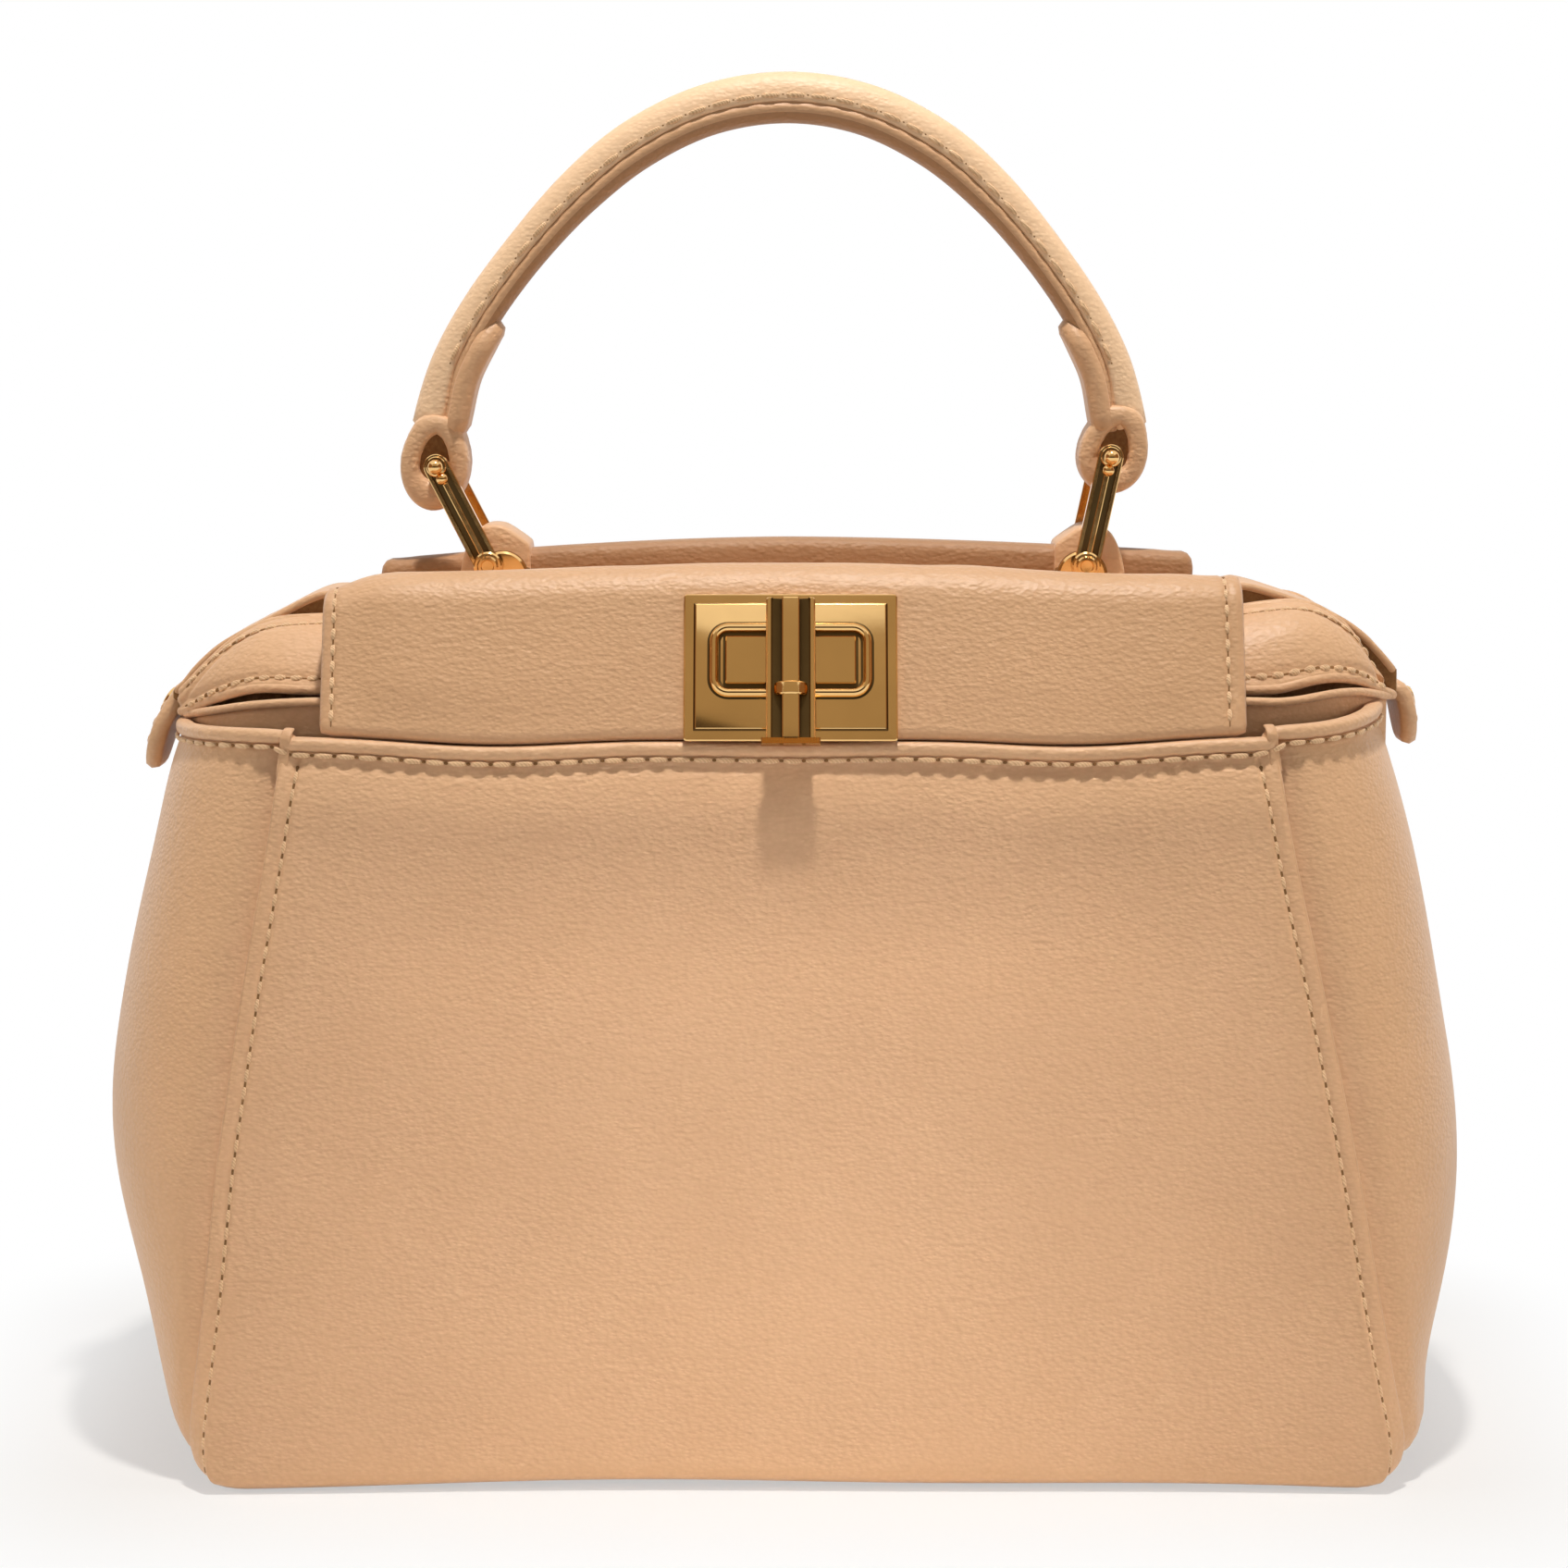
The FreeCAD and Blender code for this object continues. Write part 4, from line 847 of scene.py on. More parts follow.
def top():
    spine()
    strip = hinge_strip()
    for face, way in FACES:
        rider = face + "_flap"
        leather, rows = flap(face)
        leather.mirrored(y=way).build(face + "_flap_skin", rider, "leather", rider)
        rows.mirrored(y=way).build(face + "_flap_stitches", rider, "cord")
        strip.mirrored(y=way).build(face + "_hinge_skin", "bag", "leather", face + "_hinge_strip")


top()

# Lock
PLATE_WIDTH, PLATE_HEIGHT, PLATE_TOP, PLATE_DROP, LOCK_SHIFT = 38.5, 27.2, 1.8, 1.0, 0.6
# The plate's border, step and field, as (inset, height) pairs
PLATE_BORDER = [(0.2, 0), (0, 0.15), (0, 0.75), (0.22, 0.97), (1.75, 1.12)]
PLATE_FIELD = [(2.05, PLATE_TOP - 0.08), (2.2, PLATE_TOP)]
RING_WIDTH, RING_HEIGHT, RING_CORNER, RING_BAND, RING_RISE = 29.3, 13.7, 2.6, 1.7, 1.3
PAD_WIDTH, PAD_HEIGHT, PAD_RISE, PAD_PLACE, PAD_BED = 7.4, 8.8, 0.8, 8.0, 1.5
TOGGLE_HALF, TOGGLE_TOP, TOGGLE_BOTTOM, TOGGLE_SEAT = 4.4, 10.8, -15.2, 3.4
# Half of the toggle's section: its lip as (inset from the side, height), its ridge as (place, height) pairs
TOGGLE_SIDE = [(0, 0), (0, 1.8), (0.25, 2.1), (0.85, 2.1), (1.1, 1.1)]
TOGGLE_RIDGE = [(1.75, 0.9), (1.55, 2.3), (1.35, 2.5)]
COLLAR_PLACE, COLLAR = -5.9, ((2.6, -1.2), (2.95, -0.95), (3.1, 0), (2.95, 0.95), (2.6, 1.2))
FOOT_HALF, FOOT_RIBS, FOOT_HEIGHT, RIB_HEIGHT = 5.3, 22, 2.3, 0.22


def box_outline(width, height, corner):
    return lambda inset: rounded_box(width - 2 * inset, height - 2 * inset, max(corner - inset, 0.15))


def lock_plate():
    """A stepped plate with a raised field, a tube-like ring on it and two pads inside the ring."""
    outline = box_outline(PLATE_WIDTH, PLATE_HEIGHT, 0.6)
    shape = layered(outline, PLATE_BORDER + PLATE_FIELD, "gold")
    step = (PLATE_BORDER[-1], PLATE_FIELD[0])
    groove = np.concatenate([outline(inset) + UP * (height + 0.02) for inset, height in step])
    shape.join(Shape(groove, grid_faces(2, len(outline(0)), True), "gold_shade"))
    shape = shape.placed(np.array([0, -PLATE_DROP, 0]))
    middle = rounded_box(RING_WIDTH - RING_BAND, RING_HEIGHT - RING_BAND, RING_CORNER, 9) + UP * PLATE_TOP
    angle = np.radians(np.linspace(-20, 200, 13))
    half = RING_BAND / 2
    dome = np.stack([half * np.cos(angle), RING_RISE * np.sin(angle) * 0.9 + 0.1], -1)
    shape.join(sweep(middle, dome, UP, "gold", closed=True))
    rim = np.stack([(half + 0.35) * np.cos(angle), 0.14 * np.sin(angle)], -1)
    shape.join(sweep(middle, rim, UP, "gold_shade", closed=True))
    for sign in (-1, 1):
        place = np.array([sign * PAD_PLACE, 0, PLATE_TOP])
        rim = box_outline(PAD_WIDTH + PAD_BED, PAD_HEIGHT + PAD_BED, 0.8)
        bed = layered(rim, [(0, 0), (0, 0.12), (0.1, 0.14)], "gold_shade")
        shape.join(bed.placed(place - ACROSS * sign * 0.3))
        pad = [(0, 0), (0, PAD_RISE - 0.2), (0.18, PAD_RISE)]
        shape.join(layered(box_outline(PAD_WIDTH, PAD_HEIGHT, 0.3), pad, "gold").placed(place))
    return shape


def toggle():
    """The turning bar: raised lips, sunk dark channels and a ridge, a collar across and a ribbed foot."""
    right = np.array([(TOGGLE_HALF - inset, height) for inset, height in TOGGLE_SIDE] + TOGGLE_RIDGE)
    ring = np.concatenate([right, right[::-1] * (-1, 1)])
    centre = np.array([0, 1.2])

    def at(place, shrink):
        cut = centre + (ring - centre) * (1 - shrink)
        return spots(cut[:, 0], place, TOGGLE_SEAT + cut[:, 1])

    ends = ((TOGGLE_TOP, 0.06), (TOGGLE_TOP - 0.3, 0), (TOGGLE_BOTTOM + 0.3, 0), (TOGGLE_BOTTOM, 0.06))
    shape = stacked([at(place, shrink) for place, shrink in ends], "gold")
    for index, face in enumerate(shape.faces):
        corners = shape.points[list(face)]
        height = corners[:, 2] - TOGGLE_SEAT
        in_channel = height.min() < 1.0 and height.max() > 0.8
        if len(face) == 4 and in_channel and np.abs(corners[:, 0]).max() < TOGGLE_HALF - 0.9:
            shape.looks[index] = "gold_shade"
    angle = np.radians(np.linspace(188, -8, 15))
    rings = []
    for reach, along in COLLAR:
        arch = spots(reach * np.cos(angle), along, 0.9 + 0.66 * reach * np.sin(angle))
        rings.append(arch + (0, COLLAR_PLACE, TOGGLE_SEAT))
    shape.join(stacked(rings, "gold"))
    x = np.linspace(-FOOT_HALF, FOOT_HALF, 2 * FOOT_RIBS + 1)
    face = FOOT_HEIGHT + RIB_HEIGHT * (np.arange(len(x)) % 2)
    x = np.append(x, (FOOT_HALF, -FOOT_HALF))[::-1]
    z = TOGGLE_SEAT + np.append(face, (0.1, 0.1))[::-1]
    ends = (TOGGLE_BOTTOM - 0.95, TOGGLE_BOTTOM + 0.15)
    return shape.join(stacked([spots(x, place, z) for place in ends], "gold"))


def lock():
    plate = lock_plate()
    bar = toggle()
    for face, way in FACES:
        flip = np.array([1.0, way, 1])
        place = PIVOT[face + "_toggle_turn"] + ACROSS * LOCK_SHIFT * way
        axes = (ACROSS, FLAP_UP * flip, FLAP_OUT * flip)
        plate.placed(place, *axes).build(face + "_lock_face", face + "_flap", "gold", face + "_lock_plate")
        bar.placed(place, *axes).build(face + "_toggle_bar", face + "_toggle", "gold", face + "_toggle")


lock()

# Shoulders: edges of the right wing and of the facing behind it, as points
WING_DEPTH, RIGHT_SHOULDER_RISE = -10.8, 3.5
RISE_HEIGHTS, HIGH_RISE, LOW_RISE = (142, 150), (70, 100), (88, 108)
WING_TOP = [(66, WING_DEPTH, 154.6), (88, WING_DEPTH, 154.4), (97, WING_DEPTH, 153.4)]
LEFT_WING_TOP = WING_TOP + [(103.5, WING_DEPTH, 150), (108.8, WING_DEPTH, 145.4), (113.6, -10.4, 140.4)]
RIGHT_WING_TOP = WING_TOP + [
    (103, WING_DEPTH, 150.2), (106.3, WING_DEPTH, 146.6), (108.6, WING_DEPTH, 142.2), (110.4, -10.6, 138.6),
]
WING_LOW = [
    (66, -25, 142.0), (86, -25, 142.0), (97.6, -22.5, 142.0),
    (106, -17.5, 139.6), (110.5, -13.5, 137.4), (113.8, -10.6, 136.0),
]
FACING_TOP = [
    (66, -31, 140.6), (85, -30.5, 140.4), (97, -26, 139.3), (106, -18.5, 137.4), (112.4, -11, 135.8),
]
WING_THICKNESS, WING_DOME, WING_ROLL, WING_GROOVE = 1.8, 2.4, 0.95, 0.35
FACING_LENGTH, FACING_THICKNESS, FACING_BACK = 20, 1.2, 0.8
WING_LOW_SEAM, WING_TOP_SEAM = 1.9, 3.1
STRAP_THICKNESS, STRAP_WIDTH = 1.4, 20
# How far the walls under each strap, coloured dark as painted shade, reach down at its low end and further
# up, and their thickness
STRAP_SKIRT, SKIRT_DEEP, SKIRT_THICKNESS = {-1: 1.5, 1: 4.4}, 7.5, 0.8
# Each side's strap from its tab up and under the flaps, as (outward, up) pairs of its outer face
STRAP_LINE = {
    -1: [
        (115, 140.6), (113.4, 142.1), (110.7, 145.3), (105.8, 149.4), (97.3, 153.9),
        (89.2, 158.0), (85, 158.9), (81, 158.2), (77, 155.5),
    ],
    1: [
        (114.1, 144.5), (112.8, 146.1), (111.1, 148), (107.9, 151.2), (103, 154.4), (95, 157.6),
        (87.3, 160.0), (84, 160.2), (80, 158.6), (77, 155.5),
    ],
}
TAB_WIDTH, TAB_THICKNESS, STUD_HEIGHT = 16, 3.2, -2.6
# Each tab's outer face from its strap down to its tip, as (outward, up) pairs from its hinge
TAB_LINE = {
    -1: [(1.45, 0.7), (3.7, -2.7), (5.7, -6.0), (7.1, -9.9), (8.1, -13.5)],
    1: [(2.6, 1.15), (3.4, 0.2), (4.2, -1), (5.0, -4.2), (5.4, -6.8), (5.7, -9.0)],
}
STUD = [(2.4, 0), (2.4, 0.5), (2.1, 0.95), (1.3, 1.2), (0.5, 1.28)]


def raised(shape, side):
    """The right shoulder stands a little higher than the left, at its low edge only further out."""
    if side > 0:
        x, z = shape.points[:, 0], shape.points[:, 2]
        high = ease(z, *RISE_HEIGHTS)
        share = high * ease(x, *HIGH_RISE) + (1 - high) * ease(x, *LOW_RISE)
        shape.points[:, 2] += RIGHT_SHOULDER_RISE * share
    return shape


def wing(side):
    """A domed shoulder panel with rolled edges and a facing hung behind its low edge, and its stitches."""
    edges = (RIGHT_WING_TOP if side > 0 else LEFT_WING_TOP, WING_LOW)
    high, low = (evenly(curve(points, 120), 70) for points in edges)
    v = np.linspace(0, 1, 30)[:, None]
    grid = low + (high - low) * v[..., None]
    height = np.linalg.norm(high - low, axis=-1)
    dome = WING_DOME * np.sin(math.pi * v) ** 0.8 * height / height[0]
    grid = grid + grid_normals(grid) * dome[..., None]
    normals = grid_normals(grid)
    above = v * height
    seams = ((above, WING_LOW_SEAM), (height - above, WING_TOP_SEAM))
    groove = WING_GROOVE * sum(near(from_edge - seam, 0.6) for from_edge, seam in seams)
    grid = grid - normals * groove[..., None]
    shape = sheet(grid, WING_THICKNESS, "leather", inner="suede")
    section = rounded_section(WING_ROLL, WING_ROLL, 2, 14)
    for row in (0, -1):
        shape.join(sweep(grid[row] - normals[row] * 0.6, section, UP, "leather", cap=1))
    hem = evenly(curve(FACING_TOP, 80), 60)
    facing = [hem + DEPTH * FACING_BACK - UP * FACING_LENGTH * down for down in np.linspace(1, 0, 16)]
    shape.join(sheet(np.stack(facing), FACING_THICKNESS, "edge"))
    shape.join(sweep(hem, rounded_section(1.0, 0.8, 2, 12), UP, "leather", cap=0.6))
    rows = Shape()
    for from_edge, seam in seams:
        row = np.argmin(np.abs(from_edge[:, 0] - seam))
        rows.join(stitches(grid[row, 1:-3], normals[row, 1:-3], WING_PITCH, width=1.1))
    return [raised(part.mirrored(side), side) for part in (shape, rows)]


def strap(side):
    """The strap over a shoulder, with walls under its sides coloured dark as painted shade."""
    path = evenly(curve(STRAP_LINE[side], 120), 44)
    half = STRAP_WIDTH / 2 - STRAP_THICKNESS / 2
    grid = spots(path[:, :1], np.linspace(-half, half, 16), path[:, 1:])
    shape = sheet(grid, STRAP_THICKNESS, "leather", edge="edge")
    over = np.insert(path, 1, -half, axis=1) - UP * STRAP_THICKNESS / 2
    low = STRAP_SKIRT[side]
    share = ease(np.linspace(0, 1, len(path)), 0.05, 0.35)
    deep = (low + (SKIRT_DEEP - low) * share)[:, None] * UP
    skirt = np.stack([over - deep * down for down in np.linspace(1, 0, 8)])[:, ::-1]
    for way in (1, -1):
        shape.join(sheet(skirt, SKIRT_THICKNESS, "hole").mirrored(y=way))
    return shape.mirrored(side)


def tab(side):
    """The hanging tab below a strap, round at its low end, its stitches and its stud."""
    half_width, inset = TAB_WIDTH / 2, TAB_THICKNESS / 2
    line = evenly(curve(TAB_LINE[side], 80), 22)
    run = run_along(line)
    past = np.maximum(run - run[-1] - inset + half_width, 0)
    wide = np.maximum(np.sqrt(np.maximum(half_width**2 - past**2, 0)) - inset * 0.9, 1)
    grid = spots(line[:, :1], np.linspace(-1, 1, 15) * wide[:, None], line[:, 1:])[::-1]
    shape = sheet(grid, TAB_THICKNESS, "leather")
    normals = grid_normals(grid)
    rows = Shape()
    for place in (2, -3):
        rows.join(stitches(grid[3:-4, place], normals[3:-4, place], WING_PITCH))
    at = (np.argmin(np.abs(grid[:, 7, 2] - STUD_HEIGHT)), 7)
    out = normals[at]
    stud = turned(STUD, "gold", 24).placed(grid[at] - out * 0.2, DEPTH, np.cross(out, DEPTH), out)
    return [part.placed(PIVOT["right_tab_lift"]).mirrored(side) for part in (shape, rows, stud)]


def shoulders():
    for name, side in SIDES:
        rider = name + "_tab"
        strap(side).build(name + "_strap_skin", "bag", "leather", name + "_side_strap")
        hanging, rows, stud = tab(side)
        hanging.build(name + "_tab_skin", rider, "leather", name + "_side_tab")
        rows.build(name + "_tab_stitches", rider, "cord")
        stud.build(name + "_stud_cap", rider, "gold", name + "_tab_stud", crisp=PLAIN_CRISP)
        leather, wing_rows = wing(side)
        for face, way in FACES:
            piece = f"{face}_{name}_wing"
            leather.mirrored(y=way).build(piece + "_skin", "bag", "leather", piece)
            wing_rows.mirrored(y=way).build(piece + "_stitches", "bag", "cord")


shoulders()

# Links and lugs
LINK_LENGTH, LINK_LEAN = 20.8, math.radians(12)
LINK_HALF, LINK_EYE, LINK_BACK, LINK_THICKNESS, STREAK_HALF = 2.35, 2.7, 6.9, 1.8, 0.5
PIN_SHAFT = [(1.3, -7), (1.3, 1.8), (1.75, 1.8), (1.9, 2.0), (1.75, 2.2), (1.0, 2.25)]
SCREW = [(1.2, 0), (2.0, 0), (2.0, 2.6), (1.7, 3.0), (1.25, 3.0), (1.1, 2.75), (0.4, 2.7)]
# A lug's leather outline and round metal cheek, as (inward, up) from the link's pivot
LUG_OUTLINE = [
    (7.7, -3.1), (7.7, 0.5), (7.6, 3.4), (6.9, 4.5), (3.4, 6.9), (1.6, 7.5),
    (-0.6, 7.4), (-2.8, 6.0), (-4.4, 3.0), (-5.2, 0), (-5.6, -3.1),
]
CHEEK_PLACE, CHEEK_RADIUS, CHEEK_GAP = np.array([2.6, 0, -2.0]), 4.7, 0.5
LUG_DEPTH, LUG_LEATHER_DEPTH, LUG_SLIDE = 13.2, 12.2, {"left": 0.0, "right": -2.0}
# Rounding of a cheek's and of the leather's edge, as (distance from the face, inset) pairs
CHEEK_EDGE = ((0, 0.5), (0.3, 0.1), (0.5, 0))
LUG_EDGE = ((0, 0.6), (0.25, 0.2), (0.7, 0))


def bar_outline(length, half):
    """Outline of a round-ended bar along y, from its pivot at the origin."""

    def outline(inset):
        angle = np.radians(np.linspace(0, 180, 13))
        end = (half - inset) * spots(np.cos(angle), np.sin(angle), 0)
        return np.concatenate([end + DEPTH * length, -end])

    return outline


def link_bar():
    """One link plate facing local z: raised edges round a sunk dark channel, and its lower eye."""
    outline = bar_outline(LINK_LENGTH, LINK_HALF)
    top = LINK_THICKNESS
    edges = [(0.2, 0), (0, 0.25), (0, top - 0.2), (0.15, top), (0.75, top), (0.85, top - 0.7)]
    shape = layered(outline, edges, "gold")
    shape.join(layered(outline, [(0.8, 0.2), (0.8, top - 0.7), (0.86, top - 0.62)], "gold_shade"))
    streak = bar_outline(LINK_LENGTH, STREAK_HALF)
    shape.join(layered(streak, [(0, 0.2), (0, top - 0.5), (0.15, top - 0.42)], "gold"))
    reach = LINK_EYE
    eye = [(0.6, 0), (reach, 0), (reach, 1.9), (reach - 0.3, 2.2), (1.7, 2.2), (1.5, 1.9), (0.9, 1.9)]
    return shape.join(turned(eye, "gold", 28))


def bead(radius, height):
    """Rings of a ball on local z, with its centre at the given height."""
    angles = np.radians(np.linspace(40, 172, 10))
    return [(radius * math.sin(a), height - radius * math.cos(a)) for a in angles]


def pin_end():
    """The upper pin's ball end beside a link plate, with a second bead just below it on the plate."""
    pin = turned(PIN_SHAFT + bead(1.45, 3.2), "gold", 28)
    lower = turned([(0.5, 1.5), (0.9, 1.6)] + bead(1.15, 2.3), "gold", 24)
    return pin.join(lower.placed(np.array([0, -2.5, 0])))


def link(name, top_pin):
    """A pair of link plates with their upper pin and lower screws."""
    pivot = PIVOT[name + "_link_swing"]
    along = unit(top_pin - pivot)
    parts = (
        (link_bar(), pivot, "_link_bars", "_link_plates"),
        (pin_end(), top_pin, "_pin_ends", "_upper_pin"),
        (turned(SCREW, "gold", 28), pivot, "_screw_ends", "_lower_screws"),
    )
    for part, middle, ending, node_ending in parts:
        pair = Shape()
        for way in (-1, 1):
            out = DEPTH * way
            pair.join(part.placed(middle + out * LINK_BACK, np.cross(along, out), along, out))
        pair.build(name + ending, name + "_link", "gold", name + node_ending)


def lug(name, side):
    """A metal saddle with round cheeks on the spine, in a leather tab that slopes down inwards."""
    origin = PIVOT[name + "_link_swing"] - ACROSS * side * LUG_SLIDE[name]
    angle = np.radians(np.arange(0, 360, 8))
    disc = spots(np.cos(angle), 0, np.sin(angle))

    def cheeks(radius, depth, look):
        rings = []
        for back, inset in CHEEK_EDGE:
            ring = CHEEK_PLACE + disc * (radius - inset)
            ring[:, 2] = np.maximum(ring[:, 2], LUG_OUTLINE[0][1])
            rings.append((ring + DEPTH * (depth / 2 - back))[::-1])
        return stacked(rings + [ring * MIRROR_Y for ring in rings[::-1]], look)

    saddle = cheeks(CHEEK_RADIUS, LUG_DEPTH, "gold").mirrored(-side).placed(origin)
    saddle.build(name + "_lug_metal", "bag", "gold", name + "_lug_saddle")
    line = evenly(curve([(u, 0, w) for u, w in LUG_OUTLINE], 120), 64)
    outward = unit(np.cross(DEPTH, np.gradient(line, axis=0)))
    half = LUG_LEATHER_DEPTH / 2
    rings = [(line - outward * inset + DEPTH * (half - back))[::-1] for back, inset in LUG_EDGE]
    leather = stacked(rings + [ring * MIRROR_Y for ring in rings[::-1]], "leather")
    # A slightly larger dark disc behind each cheek shows as a dark ring round it: painted shade in the gap
    # between cheek and leather
    leather.join(cheeks(CHEEK_RADIUS + CHEEK_GAP, LUG_LEATHER_DEPTH + 0.16, "hole"))
    leather = leather.mirrored(-side).placed(origin)
    leather.build(name + "_lug_leather", "bag", "leather", name + "_lug_tab", crisp=LUG_CRISP)


# Handle: right half of its centre line as (x, z) pairs, and of its section from the top down
HANDLE_HALF = [
    (0, 250), (14.5, 247.8), (27.7, 241.5), (38.3, 232.9),
    (47.5, 222.8), (55.9, 211.5), (61.5, 201.0), (64.0, 190.4),
]
HANDLE_SECTION = [
    (0, 4.6), (1.3, 4.4), (2.6, 3.7), (3.6, 2.6), (4.15, 1.3), (4.35, 0.2), (4.4, -0.3), (4.25, -0.7),
    (3.95, -0.9), (4.1, -1.15), (4.5, -1.5), (4.65, -2.0), (4.45, -2.8), (3.7, -3.8), (2.0, -4.5),
]
# HANDLE_SEAM and HANDLE_UNDER are heights in the section below which the cover takes darker leathers as
# painted shade
HANDLE_BOTTOM, HANDLE_SEAM, HANDLE_UNDER, ROW_SIDE, ROW_HEIGHT = -4.6, -0.9, -3, 4.3, 0.3
HANDLE_SKEW, CORD_RADIUS, HANDLE_MORE = 0.024, 2.2, 1.4
LOOP_HALF_WIDTH, LOOP_HANG = 6.5, {"left": 8.6, "right": 7.2}
LOOP_OUTER = [(6.3, 2.4), (5.7, 4.6), (4.9, 6.6), (4.1, 8.2), (2.6, 9.3), (0, 9.7)]
LOOP_INNER = [(0, -2.6), (1.4, -2.2), (2.4, -1), (2.5, 0.6), (2.2, 2.4), (1.6, 4), (0.8, 5.2), (0, 5.7)]
LOOP_HALF_DEPTH, LOOP_SHIFT, LINER_HALF_DEPTH, LINER_HOLE = 5.2, 0.8, 3.6, 1.7
TAIL_THICKNESS, TAIL_PROUD, TAIL_HALF_WIDTH, TAIL_COUNT, TAIL_SEAT = 4.2, 2.4, 3.9, 16, 4.4


def handle_line():
    """The handle's centre line from right to left, the outward direction and the section's size."""
    half = np.array([(x, 0, z) for x, z in HANDLE_HALF])
    path = evenly(curve(np.concatenate([half[::-1], half[1:] * (-1, 1, 1)]), 240), 140)
    from_top = half[0, 2] - path[:, 2]
    path[:, 0] -= HANDLE_SKEW * from_top
    out = unit(np.cross(DEPTH, np.gradient(path, axis=0)))
    from_end = half[0, 2] - half[-1, 2] - from_top
    thinner = ease(from_top, 6, 32)
    radial = 1.03 - 0.15 * thinner + 0.2 * near(from_end, 8)
    return path, out, np.stack([1 - 0.06 * thinner, radial], -1)


def handle(left, right):
    path, out, size = handle_line()
    right_half = np.array(HANDLE_SECTION)
    left_half = (right_half[1:] * (-1, 1))[::-1]
    ring = np.concatenate([right_half, [[0, HANDLE_BOTTOM]], left_half])[::-1]
    ends = path.copy()
    for end, inner in ((0, 1), (-1, -2)):
        ends[end] += unit(path[end] - path[inner]) * HANDLE_MORE
    cover = sweep(ends, ring * size[:, None], out, "grip", cap=0.8)
    # The cover is coloured by height in its section: a lighter leather on top as painted light, a darker one
    # below the seam and the darkest under the roll as painted shade
    level = (ring[:, 1] + np.roll(ring[:, 1], -1)) / 2
    lower = np.where(level < HANDLE_UNDER, "deep", np.where(level < HANDLE_SEAM, "edge", "grip"))
    cover.looks = [str(lower[index % len(ring)]) for index in range(len(cover.looks))]
    cover.build("handle_roll", "handle", "leather", "handle_cover")
    turn = circle(18)
    twist = 1 + 0.06 * np.sin(3 * turn[None] + np.arange(len(path))[:, None] * 1.1)
    strand = CORD_RADIUS * np.stack([np.cos(turn) * twist, np.sin(turn) * twist], -1)
    core = sweep(path[3:-3], strand[3:-3], out[3:-3], "cord", cap=0.5)
    core.build("handle_cord", "handle", "cord", "handle_core")
    rows = Shape()
    for way in (-1, 1):
        row = path + DEPTH * way * ROW_SIDE * size[:, :1] + out * ROW_HEIGHT * size[:, 1:]
        sideways = np.broadcast_to(DEPTH * way, row.shape)
        thread = {"width": 0.85, "fill": 0.8, "rise": 0.26, "hole": 0.17}
        rows.join(stitches(row[8:-8], sideways[8:-8], HANDLE_PITCH, **thread))
    rows.build("handle_stitches", "handle", "cord")
    for name, pin, end, side in (("left", left, path[-1], -1), ("right", right, path[0], 1)):
        loop(name, pin, end, side)
        tail(name, path[::side], out[::side], size[::side, 1:], side)


def star(outline, angle):
    """Radius of an outline at angles from straight down, the same on both sides."""
    x, y = np.array(outline, float).T
    return np.interp(np.abs(angle), np.arctan2(x, -y), np.hypot(x, y))


def loop(name, true_pin, end, side):
    """The strap loop round the upper pin: a teardrop eye, closed above by the folded strap inside it, which
    is coloured dark as painted shade.
    """
    pin = true_pin + ACROSS * side * LOOP_SHIFT
    up = unit(end - pin)
    out = np.cross(DEPTH, up) * side
    angle = np.linspace(-math.pi, math.pi, 65)[:-1]
    hang = LOOP_HANG[name]
    low = [(LOOP_HALF_WIDTH * math.sin(a), -hang * math.cos(a)) for a in np.radians(np.arange(0, 91, 10))]
    outer, inner = star([*low, *LOOP_OUTER], angle), star(LOOP_INNER, angle)
    ray = np.sin(angle)[:, None] * out - np.cos(angle)[:, None] * up
    section = rounded_section(1, 1, 4, 20)
    strap_deep = section[:, 1:] * LOOP_HALF_DEPTH * DEPTH
    liner_deep = DEPTH * LINER_HALF_DEPTH
    strap_rings, liner_rings = [], []
    for r, a, b in zip(ray, outer, inner):
        strap_rings.append(pin + r * (a + b) / 2 + section[:, :1] * (a - b) / 2 * r + strap_deep)
        far, close = pin + r * (b + 0.4), true_pin + r * LINER_HOLE
        corners = (far - liner_deep, far + liner_deep, close + liner_deep, close - liner_deep)
        liner_rings.append(np.array(corners))
    shape = Shape()
    # The liner inside the eye takes the dark look as painted shade
    for rings, look in ((strap_rings, "leather"), (liner_rings, "hole")):
        shape.join(tube(rings if side > 0 else rings[:1] + rings[:0:-1], look))
    shape.build(name + "_loop_strap", "handle", "leather", name + "_handle_loop", crisp=LOOP_CRISP)


def tail(name, path, out, size, side):
    """The strap end sewn to the handle's inner side above a loop."""
    share = np.linspace(0, 1, TAIL_COUNT)
    stand = TAIL_SEAT + TAIL_PROUD * (0.35 + 0.6 * ease(share, 0, 0.8))
    inner = path[:TAIL_COUNT] - out[:TAIL_COUNT] * size[:TAIL_COUNT] * stand[:, None]
    wide = TAIL_HALF_WIDTH * np.sqrt(1 - 0.75 * ease(share, 0.72, 1.0) ** 2)
    y = np.linspace(-1, 1, 11) * side
    grid = inner[:, None] + DEPTH * (y[None, :] * wide[:, None])[..., None]
    shape = sheet(grid[:, ::-1], TAIL_THICKNESS, "leather", edge="edge")
    shape.build(name + "_tail_strap", "handle", "leather", name + "_loop_tail")


def carrying():
    left = PIVOT["handle_pivot"]
    lean = np.array([math.sin(LINK_LEAN), 0, math.cos(LINK_LEAN)])
    right = PIVOT["right_link_swing"] + LINK_LENGTH * lean
    for (name, side), top_pin in zip(SIDES, (left, right)):
        link(name, top_pin)
        lug(name, side)
    handle(left, right)


carrying()

